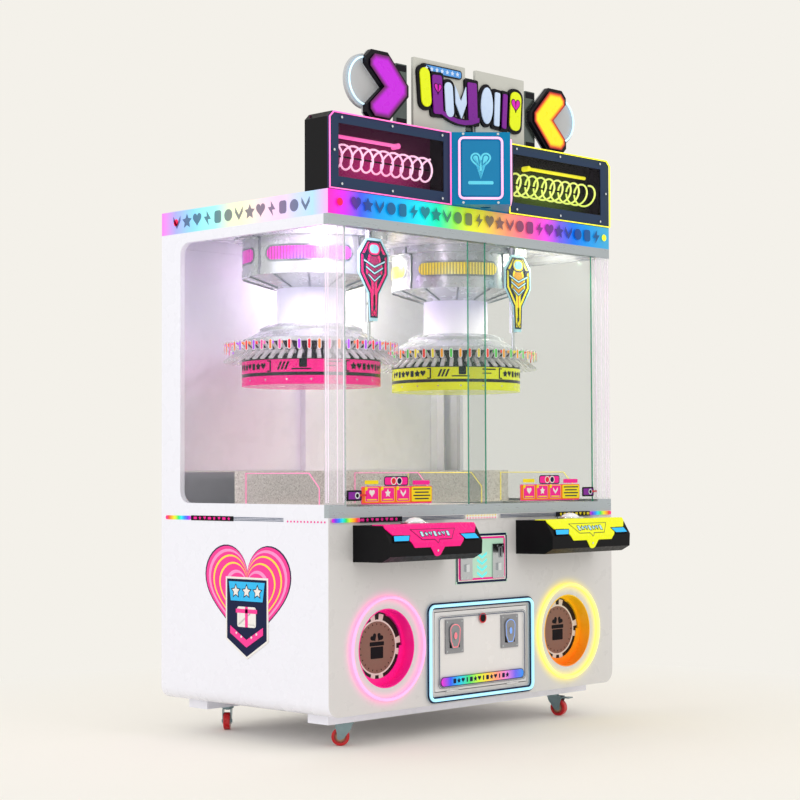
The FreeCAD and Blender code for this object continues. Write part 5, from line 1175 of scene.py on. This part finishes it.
# %% Stickers on the panes
SHEET, PANEL, MARK = FILM, 2 * FILM, 3 * FILM
PANE_SIGNS = (heart(0.026, 0.024), star(0.015), chevron(0.026, 0.024, 0.010))
LOCK_PROUD = {"left": 0.0090, "right": 0.0030}
for side, s in SIDES.items():
    x = 0.0 if s < 0 else 0.829
    pane_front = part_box(side + "_window")[0].y
    pieces, lay = laying(lambda lift: on_front(lift, y=pane_front))
    lay(rounded(0.344, 0.060, 0.004, x - 0.420, 0.849), SHEET, magenta, orange, rings=(0.003,))
    lay(rounded(0.065, 0.013, 0.004, x - 0.5425, 0.893), SHEET, lemon)
    lay(rounded(0.118, 0.033, 0.010, x - 0.424, 0.8965), SHEET, navy, magenta, rings=(0.004,))
    lay(disc(0.0135, x - 0.437, 0.8965, 16), PANEL, paper, red_tab, rings=(0.003,), thick=FILM)
    lay(disc(0.0135, x - 0.409, 0.8965, 16), PANEL, paper, navy, rings=(0.003,), thick=FILM)
    lay(rounded(0.085, 0.015, 0.004, x - 0.3005, 0.8905), SHEET, magenta)
    for glyph, left in zip(PANE_SIGNS, (-0.575, -0.499, -0.424)):
        middle = x + left + 0.033
        lay(rounded(0.066, 0.050, 0.006, middle, 0.851), PANEL, lemon, magenta, rings=(0.002,), thick=FILM)
        lay(moved(glyph, middle, 0.855), MARK, paper, thick=FILM)
        lay(disc(0.007, x + left + 0.006, 0.872, 12), MARK, lemon, thick=FILM)
        lay(rounded(0.048, 0.004, 0.002, middle, 0.834), MARK, lemon, thick=FILM)
    lay(rounded(0.104, 0.054, 0.006, x - 0.299, 0.851), PANEL, orange, lemon, rings=(0.002,), thick=FILM)
    for i in range(4):
        line = rounded(0.084 - 0.014 * (i % 2), 0.0040, 0.002, x - 0.299, 0.868 - 0.011 * i)
        lay(line, MARK, navy, thick=FILM)
    lock_x, proud = s * 0.6315, LOCK_PROUD[side]
    lay(rounded(0.067, 0.036, 0.006, lock_x, 0.849), proud, sign_black, sign_purple, rings=(0.006,))
    lay(disc(0.011, lock_x + 0.012, 0.849, 20), proud + 0.0016, chrome_screw, ink, rings=(0.004,), thick=0.0016)
    lay(rounded(0.034, 0.007, 0.003, lock_x + 0.040, 0.850), proud + 0.0016, red_tab, thick=0.0016)
    settle(join(pieces), side + "_pane_stickers", side + "_window")
print("pane stickers: 2 sets")

# %% [markdown]
# A narrow printed strip runs round the cabinet under the windows: a rainbow pill at each end, a dark label with
# a row of marks, three thin grey lines and a white patch of dots in the middle. The pill's colours come from a
# ramp along one axis, from one end of the pill to the other.

# %% Strip under the windows
RAINBOW = ["e818c8", "6a2cf0", "1488ff", "10e0f0", "18e060", "d8f018", "ffb418", "ff4018", "ff18a0"]
STRIP_Z, LINE_PITCH = 0.7675, 0.0048


def rainbow(name, centre, axis, length, codes=RAINBOW):
    """Rainbow film that runs along one axis, over a length about centre."""
    finish, tree, vector, axes = start_finish(name, centre)
    along = spread(tree, axes[axis], -length / 2, length / 2)
    colour = ramp(tree, along, [(i / (len(codes) - 1), tint(code)) for i, code in enumerate(codes)])
    # The film's glow is painted light; the printed pills are no lamp.
    return end_finish(finish, tree, vector, colour, rough=0.3, drift=0.03, bump=0.0, glow=0.25, coat=0.3)


pieces, lay = laying(on_front)
lay(rounded(0.170, 0.016, 0.002, -0.005, STRIP_Z), SHEET, paper)
for i in range(11):
    for j, finish in ((-1, magenta), (1, lemon)):
        lay(disc(0.0028, -0.080 + 0.015 * i, STRIP_Z + 0.0045 * j, 8), PANEL, finish, thick=FILM)
marks = (rounded(0.015, 0.009, 0.002), star(0.0075), heart(0.013, 0.012))
for side, s in SIDES.items():
    pill = rainbow("pill_front_" + side, (s * 0.676, 0.0, 0.0), 0, 0.132)
    mark_finish = magenta if s < 0 else lemon
    lay(rounded(0.132, 0.014, 0.0069, s * 0.676, STRIP_Z), PANEL, pill)
    lay(rounded(0.202, 0.017, 0.002, s * 0.511, STRIP_Z), SHEET, navy, ink, rings=(0.001,))
    for i in range(8):
        lay(moved(marks[i % 3], s * (0.600 - 0.023 * i), STRIP_Z), PANEL, mark_finish, thick=FILM)
    for j in (-1, 0, 1):
        lay(rounded(0.312, 0.0024, 0.0007, s * 0.254, STRIP_Z + LINE_PITCH * j), SHEET, grey_line)
settle(join(pieces), "front_strip")

marks = (rounded(0.017, 0.009, 0.002), star(0.0075), heart(0.013, 0.012))
for side, s in SIDES.items():
    pill = rainbow("pill_" + side, (0.0, 0.430, 0.0), 1, 0.143)
    pieces, lay = laying(lambda lift: on_side(s, lift), out=(s, 0, 0))
    lay(rounded(0.143, 0.014, 0.0069, 0.4305, STRIP_Z), PANEL, pill)
    lay(rounded(0.230, 0.017, 0.002, 0.244, STRIP_Z), PANEL, ink, thick=FILM)
    for i in range(8):
        lay(moved(marks[i % 3], 0.335 - 0.026 * i, STRIP_Z), MARK, magenta, thick=FILM)
    for j in (-1, 0, 1):
        lay(rounded(0.257, 0.0022, 0.0007, 0.0005, STRIP_Z + LINE_PITCH * j), PANEL, grey_line, thick=FILM)
    for i in range(12):
        lay(disc(0.0034, -0.149 - 0.0165 * i, 0.7625, 8), PANEL, magenta, thick=FILM)
    settle(join(pieces), side + "_side_strip")
print("strips: front and 2 sides")

# %% [markdown]
# ## Player consoles
# A folded plate wraps the top and front facets of each black console: pink on the left, yellow on the right,
# with a pointed crest in the middle, a cyan light at each side and a navy wing on the crest. `on_console` maps
# a flat drawing to the console's facets: u runs along the console and v down its profile, which is a line
# through five points. Folds are bisected exactly at its corners.

# %% The console's profile
button_low, button_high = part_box("right_button")
CONSOLE_X, BUTTON_Y = (button_low.x + button_high.x) / 2, (button_low.y + button_high.y) / 2
PROFILE = [(-0.350, 0.7500), (-0.487, 0.7500), (-0.523, 0.6940), (-0.521, 0.6490), (-0.484, 0.6300)]
LENGTHS = [0.0]
for (y0, z0), (y1, z1) in zip(PROFILE, PROFILE[1:]):
    LENGTHS.append(LENGTHS[-1] - math.hypot(y1 - y0, z1 - z0))
START = LENGTHS[1]
FOLDS = [length - START for length in LENGTHS[1:-1]]


def on_console(s, lift):
    """u from the console's middle, v measured down the profile from its top front edge."""
    def place(u, v):
        run = START + v
        for i in range(len(PROFILE) - 1):
            if run >= LENGTHS[i + 1] or i == len(PROFILE) - 2:
                (y0, z0), (y1, z1) = PROFILE[i], PROFILE[i + 1]
                t = (LENGTHS[i] - run) / (LENGTHS[i] - LENGTHS[i + 1])
                length = math.hypot(y1 - y0, z1 - z0)
                ny, nz = (z1 - z0) / length, -(y1 - y0) / length
                y, z = y0 + (y1 - y0) * t, z0 + (z1 - z0) * t
                return Vector((s * CONSOLE_X + u, y + ny * lift, z + nz * lift))
    return place


print("console folds at", [round(fold, 3) for fold in FOLDS])

# %% Console skins
skin_codes = {"left": "ff0088", "right": "f4fa00"}
lamp = plain("console_lamp", "1cb4f8", rough=0.15, glow=0.30)
SKIN_HALF = 0.222
crest = [(SKIN_HALF - 0.012, 0.060), (SKIN_HALF, 0.050), (SKIN_HALF, -0.010), (SKIN_HALF - 0.022, -0.038),
         (SKIN_HALF - 0.072, -0.038), (SKIN_HALF - 0.112, -0.084), (0.034, -0.084), (0.014, -0.110),
         (0.0, -0.113)]
crest += [(-u, v) for u, v in reversed(crest[:-1])]
wing = [(0.110, -0.018), (0.086, -0.018), (0.0, -0.018), (-0.086, -0.018), (-0.110, -0.018), (-0.072, -0.060),
        (-0.012, -0.060), (0.0, -0.072), (0.012, -0.060), (0.072, -0.060)]
side_light = [(0.120, -0.040), (0.138, -0.064), (0.210, -0.064), (0.200, -0.040)]
wing_marks = (rounded(0.015, 0.022, 0.003), star(0.0125), heart(0.019, 0.020))
for side, s in SIDES.items():
    # The skin's glow is painted light; the skin is no lamp.
    skin = plain(side + "_console_skin", skin_codes[side], rough=0.25, glow=0.10)
    pieces, lay = laying(lambda lift: on_console(s, lift), out=(0, -1, 0.6))
    lay(crest, 0.0034, skin, folds=FOLDS, thick=0.0030)
    for k in (-1, 1):
        lay([(k * u, v) for u, v in side_light], 0.0046, ink, lamp, rings=(0.0025,), thick=0.0030)
    lay(wing, 0.0042, navy, skin, rings=(0.0020,), folds=FOLDS, thick=FILM)
    for i in range(7):
        lay(moved(wing_marks[i % 3], -0.063 + 0.021 * i, -0.038), 0.0052, navy, border_blue, rings=(0.0018,),
            thick=0.0010)
    lay(disc(0.0038, 0.0, -0.096, 10), 0.0048, chrome_screw, thick=0.0012)
    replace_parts(settle(join(pieces), side + "_console_skin"), "console_faceplates")
print("console skins: 2")

# %% [markdown]
# The buttons are translucent white domes in a silver bezel, which is a round bar bent into a ring.

# %% Buttons
dome = plain("button_dome", "f4f8fb", rough=0.18, grain=12.0, drift=0.03, bump=0.02, coat=0.6, glow=0.12)
dress(dome, "left_button", "right_button")
BEZEL_R, BEZEL_Z = 0.0455, PROFILE[0][1] + 0.0055
for side, s in SIDES.items():
    circle = [(u, v, BEZEL_Z) for u, v in disc(BEZEL_R, s * CONSOLE_X, BUTTON_Y, 36)]
    settle(rod(circle, 0.0042, chrome, closed=True), side + "_button_bezel", smooth=60)
print("bezels: 2")

# %% [markdown]
# ## Coin plate
# The coin plate is one printed sheet: a navy line, a pink line and a pale green field with cyan arrows that
# point down at the coin entries. Its frame node keeps its shape and its openings, so the print is made of
# narrow border strips and arrows laid on it. Each selector gets a slot and four screws.

# %% Coin plate print
coin_low, coin_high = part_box("coin_plate")
# The green field's and the arrows' glow is painted light; the coin plate is no lamp.
green = plain("coin_plate_green", "bfe8d2", rough=0.3, grain=10.0, drift=0.05, coat=0.4, glow=0.05)
arrow_cyan = plain("arrow_cyan", "6ff4f6", rough=0.3, glow=0.2)
dress(green, "coin_plate")
width, height = coin_high.x - coin_low.x, coin_high.z - coin_low.z
middle = (coin_high.z + coin_low.z) / 2
pieces, lay = laying(lambda lift: on_front(lift, y=coin_low.y))
for finish, gap, band in ((navy, 0.005, 0.008), (paper, 0.0105, 0.003), (magenta, 0.0155, 0.007)):
    for s in (-1, 1):
        lay(rounded(width - 2 * gap, band, 0.001, 0.0, middle + s * (height / 2 - gap)), FILM, finish)
        lay(rounded(band, height - 2 * gap - band, 0.001, s * (width / 2 - gap), middle), FILM, finish)
for i in range(4):
    lay(chevron(0.052, 0.024, 0.009, 0.0, 0.560 + 0.023 * i), 0.0008, arrow_cyan)
settle(join(pieces), "coin_plate_print")
print("coin arrows: 4")

# %% Coin selectors
selector_low, selector_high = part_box("coin_selectors")
satin = plain("selector_satin", "c9cdd0", rough=0.14, metal=1.0, grain=16.0, drift=0.15, bump=0.04,
              brushed=(3.0, 3.0, 0.4))
dress(satin, "coin_selectors")
pieces, lay = laying(lambda lift: on_front(lift, y=selector_low.y))
for s in (-1, 1):
    x = s * (selector_high.x - 0.020)
    lay(rounded(0.0050, 0.030, 0.002, x, selector_high.z - 0.030), FILM, ink)
    lay(rounded(0.022, 0.040, 0.003, x, selector_high.z - 0.030), 0.0003, silver_seam)
    for z in (selector_high.z - 0.007, selector_low.z + 0.007):
        for u in (-0.015, 0.015):
            lay(disc(0.0028, x + u, z, 8), 0.0010, chrome_screw)
settle(join(pieces), "selector_details")
print("selectors: 2")

# %% [markdown]
# ## Service door
# The door hangs in a channel of pale blue neon with a dark edge. Its face has a fine raised border line, a red
# ring round the lock, two cast coin returns with a shield in relief, and a rainbow pill at the foot. The
# returns are lit from behind, red on the left and blue on the right.

# %% Door
door_low, door_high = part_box("service_door")
dress(plain("door_white", "eeecee", rough=0.25, grain=14.0, drift=0.02, bump=0.05, coat=0.4), "service_door")
door_z = (door_low.z + door_high.z) / 2
DOOR_PILL = ["e81cc8", "2a50f8", "10c8f0", "40e070", "c8f030", "ffd040", "ff9880", "e880d8", "6a60f0", "1090f0"]
PILL_Z = 0.1955
pieces, lay = laying(lambda lift: on_front(lift, y=door_low.y))
for wide, tall, corner, radius, finish in ((0.452, 0.240, 0.012, 0.0014, grey_line),
                                           (0.462, 0.250, 0.014, 0.0010, silver_seam)):
    border = [(u, door_low.y - 0.0004, v) for u, v in rounded(wide, tall, corner, 0.0, door_z)]
    pieces.append(rod(border, radius, finish, closed=True))
door_pill = rainbow("door_pill", (0.0, 0.0, 0.0), 0, 0.442, codes=DOOR_PILL)
lay(rounded(0.442, 0.034, 0.0165, 0.0, PILL_Z), 0.0012, navy, door_pill, rings=(0.0022,), thick=0.0010)
marks = (rounded(0.014, 0.016, 0.003), star(0.010), heart(0.016, 0.016), rounded(0.006, 0.016, 0.002))
for i in range(14):
    lay(moved(marks[i % 4], -0.150 + 0.0215 * i, PILL_Z), 0.0018, navy, thick=0.0008)
lock_low, lock_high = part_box("door_lock")
lay(disc(0.0185, 0.0, (lock_low.z + lock_high.z) / 2), 0.0010, red_tab, ink, rings=(0.0042,))
for u in (-0.226, 0.226):
    for v in (0.184, 0.420):
        lay(disc(0.003, u, v, 8), 0.0008, chrome_screw)
settle(join(pieces), "door_print", "service_door")
print("door print done")

# %% Coin returns
return_low, return_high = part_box("coin_return_plates")
pewter = plain("cast_pewter", "9fa0a6", rough=0.34, metal=0.7, grain=40.0, drift=0.2, bump=0.15)
dress(pewter, "coin_return_plates")
return_z = (return_low.z + return_high.z) / 2
lit_codes = {"left": "ff7a88", "right": "7aa8ff"}
arch = [math.radians(a) for a in range(0, 181, 15)]
shield = [(0.029 * math.cos(a), 0.022 + 0.024 * math.sin(a)) for a in arch]
shield += [(-0.026, -0.016), (-0.014, -0.042), (0.014, -0.042), (0.026, -0.016)]
pieces, lay = laying(lambda lift: on_front(lift, y=return_low.y))
for side, s in SIDES.items():
    x = s * (return_high.x - 0.046)
    light = plain(side + "_return_light", lit_codes[side], rough=0.3, glow=0.35)
    lay(moved(shield, x, return_z), 0.0040, pewter, light, pewter, rings=(0.003, 0.003))
    lay(disc(0.010, x, return_z + 0.002, 20, tall=1.5), 0.0055, pewter, light, rings=(0.003,), thick=0.0015)
    for u in (-0.038, 0.038):
        for v in (-0.051, 0.051):
            lay(disc(0.0026, x + u, return_z + v, 8), 0.0008, chrome_screw)
settle(join(pieces), "coin_return_relief", "service_door")
print("coin returns: 2")

# %% [markdown]
# ## Front neon
# The two outlet rings and the door's channel are the rest of the neon. A ring is a closed round line with a
# bevel. The channel is a tube between two navy edges.

# %% Outlet rings and door channel
ring_finish = {"left": glow_finish("outlet_pink", "ff9cd0", "ffb4dc", 0.75),
               "right": glow_finish("outlet_yellow", "fff478", "fff9a8", 0.70)}
RING_Y = FRONT - 0.006
CHANNEL_WIDE, CHANNEL_TALL, CHANNEL_CORNER, CHANNEL_X, CHANNEL_Z = 0.542, 0.324, 0.022, -0.006, 0.299


def channel_line(gap, y):
    """The door channel's line, grown by gap in width and height, in the plane at y."""
    outline = rounded(CHANNEL_WIDE + gap, CHANNEL_TALL + gap, CHANNEL_CORNER + gap / 2, CHANNEL_X, CHANNEL_Z)
    return [(u, y, v) for u, v in outline]


for side, s in SIDES.items():
    circle = [(u, RING_Y, v) for u, v in disc(RING_R, s * OUTLET_X, OUTLET_Z, 72)]
    ring = rod(circle, 0.0050, ring_finish[side], closed=True)
    replaced.append(settle(ring, side + "_outlet_ring", smooth=60))
door_neon = glow_finish("door_neon", "9adcf4", "b8eefc", 0.75)
tube = rod(channel_line(0.0, RING_Y), 0.0055, door_neon, closed=True)
replaced.append(settle(tube, "door_neon_frame", smooth=60))
for piece in replaced:
    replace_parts(piece, "neon_tubes")
edges = [rod(channel_line(gap, FRONT - 0.0016), 0.0030, navy, closed=True) for gap in (-0.016, 0.016)]
settle(join(edges), "door_neon_channel")
print("neon pieces:", len(replaced))

# %% [markdown]
# ## Prize outlets
# A brightly coloured plastic sleeve lines each outlet, and a round flap closes it, printed like a casino chip:
# a brown middle, a pale ring, and an outer ring with four long dark segments and four pale gaps with a dark
# tick. Rings come from distance to the flap's centre, and the segments from the angle round it.

# %% Sleeves and flap finishes
finish, tree, vector, axes = start_finish("sleeve_plastic")
colour = ramp(tree, spread(tree, axes[0], -0.01, 0.01), [(0.0, tint("ff1f9c")), (1.0, tint("ffd21c"))])
cool = maths(tree, "SUBTRACT", 1.0, spread(tree, axes[2], OUTLET_Z - 0.13, OUTLET_Z + 0.13))
orange_part = maths(tree, "MULTIPLY", maths(tree, "GREATER_THAN", axes[0], 0.0), cool)
colour = mix(tree, orange_part, colour, tint("ff8a1c"))
# The glow is painted light that brightens the sleeves, which are no lamp.
end_finish(finish, tree, vector, colour, rough=0.3, grain=10.0, drift=0.06, bump=0.03, glow=0.12)
dress(finish, "outlet_sleeves")
CHIP_R, TICK, GAP = 0.12, 5 / 90, 17 / 90
chip_dark, chip_pale, chip_brown = tint("17120f"), tint("e9e4de"), tint("8d6a5e")
for side, s in SIDES.items():
    finish, tree, vector, axes = start_finish(side + "_chip_print", (s * OUTLET_X, 0.0, OUTLET_Z))
    reach = distance(tree, axes[0], axes[2])
    quarters = maths(tree, "DIVIDE", maths(tree, "ARCTAN2", axes[2], axes[0]), math.tau / 4)
    share = maths(tree, "FRACT", maths(tree, "ADD", quarters, 0.5))
    quarter = maths(tree, "ABSOLUTE", maths(tree, "SUBTRACT", share, 0.5))
    segment = mix(tree, maths(tree, "LESS_THAN", quarter, GAP), chip_dark, chip_pale)
    segment = mix(tree, maths(tree, "LESS_THAN", quarter, TICK), segment, chip_dark)
    rings = ramp(tree, maths(tree, "DIVIDE", reach, CHIP_R), [(0.0, chip_brown), (0.733, chip_pale),
                                                              (0.783, chip_dark)], steps=True)
    colour = mix(tree, maths(tree, "GREATER_THAN", reach, 0.094), rings, segment)
    end_finish(finish, tree, vector, colour, rough=0.5, grain=50.0, drift=0.12, bump=0.12)
    dress(finish, side + "_prize_flap")
print("chips: 2")

# %% Gift box and dots on each flap
DOTS = 24
for side, s in SIDES.items():
    x = s * OUTLET_X
    flap_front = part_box(side + "_prize_flap")[0].y
    pieces, lay = laying(lambda lift: on_front(lift, y=flap_front))
    for i, (u, v) in enumerate(disc(0.079, x, OUTLET_Z, DOTS)):
        lay(moved(rounded(0.006, 0.003, 0.001), u, v, 360 * i / DOTS), 0.0004, ink)
    lay(rounded(0.060, 0.040, 0.003, x, OUTLET_Z - 0.018), FILM, ink)
    lay(rounded(0.068, 0.014, 0.003, x, OUTLET_Z + 0.012), FILM, ink)
    for k in (-1, 1):
        lay(moved(heart(0.030, 0.026), x + k * 0.014, OUTLET_Z + 0.032, -35 * k), FILM, ink)
    settle(join(pieces), side + "_flap_print", side + "_prize_flap")
print("flaps: 2")

# %% [markdown]
# ## Side badges
# A large heart in nested pink and yellow lines is printed on each side sheet, under a shield-shaped badge. The
# heart is one outline drawn ten times, smaller each time. The badge has generic shapes in place of a mark:
# stars on a cyan band, a white gift box, a pink chevron.

# %% Hearts and badges
pale_pink = plain("print_light_pink", "ff9ad6", rough=0.35, coat=0.3)
hot_pink = plain("print_hot_pink", "ff2f9c", rough=0.35, coat=0.3)
gold = plain("print_yellow", "ffe84a", rough=0.35, coat=0.3)
CENTRE_Y, HEART_Z, HEART_STEP = 0.057, 0.487, 0.0003
BADGE, BADGE_STEP = 0.0034, 0.0005
layers = [(1.00, navy), (0.975, hot_pink), (0.915, pale_pink), (0.86, hot_pink), (0.80, gold),
          (0.765, hot_pink), (0.655, gold), (0.62, hot_pink), (0.50, pale_pink), (0.44, hot_pink)]
shield = [(-0.110, 0.352), (0.0, 0.288), (0.110, 0.352), (0.110, 0.568), (-0.110, 0.568)]
banner = [(-0.098, 0.556), (0.098, 0.556), (0.086, 0.482), (-0.086, 0.482)]
for side, s in SIDES.items():
    pieces, lay = laying(lambda lift: on_side(s, lift), out=(s, 0, 0))
    for i, (scale, finish) in enumerate(layers):
        outline = heart(0.447 * scale, 0.384 * scale, CENTRE_Y, HEART_Z + 0.02 * (1 - scale), 72)
        lay(outline, HEART_STEP * (i + 1), finish)
    lay(moved(shield, CENTRE_Y, 0.0), BADGE, paper, navy, rings=(0.007,))
    lay(moved(banner, CENTRE_Y, 0.0), BADGE + BADGE_STEP, navy, cyan, rings=(0.004,), thick=0.001)
    second, third, fourth = (BADGE + step * BADGE_STEP for step in (2, 3, 4))
    for k in (-1, 0, 1):
        lay(star(0.027, CENTRE_Y + 0.056 * k, 0.519), second, navy, paper, rings=(0.003,), thick=0.001)
    lay(rounded(0.096, 0.070, 0.008, CENTRE_Y, 0.432), second, paper, paper, rings=(0.010,), thick=0.001)
    lay(rounded(0.014, 0.070, 0.001, CENTRE_Y, 0.432), third, hot_pink, thick=0.001)
    lay(rounded(0.110, 0.014, 0.001, CENTRE_Y, 0.452), third, hot_pink, thick=0.001)
    lay(chevron(0.170, 0.072, 0.026, CENTRE_Y, 0.364), third, hot_pink, thick=0.001)
    for k in (-2, -1, 1, 2):
        lay(star(0.006, CENTRE_Y + 0.026 * k, 0.352 + 0.012 * abs(k)), fourth, paper, thick=0.0005)
    settle(join(pieces), side + "_side_badge")
print("side badges: 2")
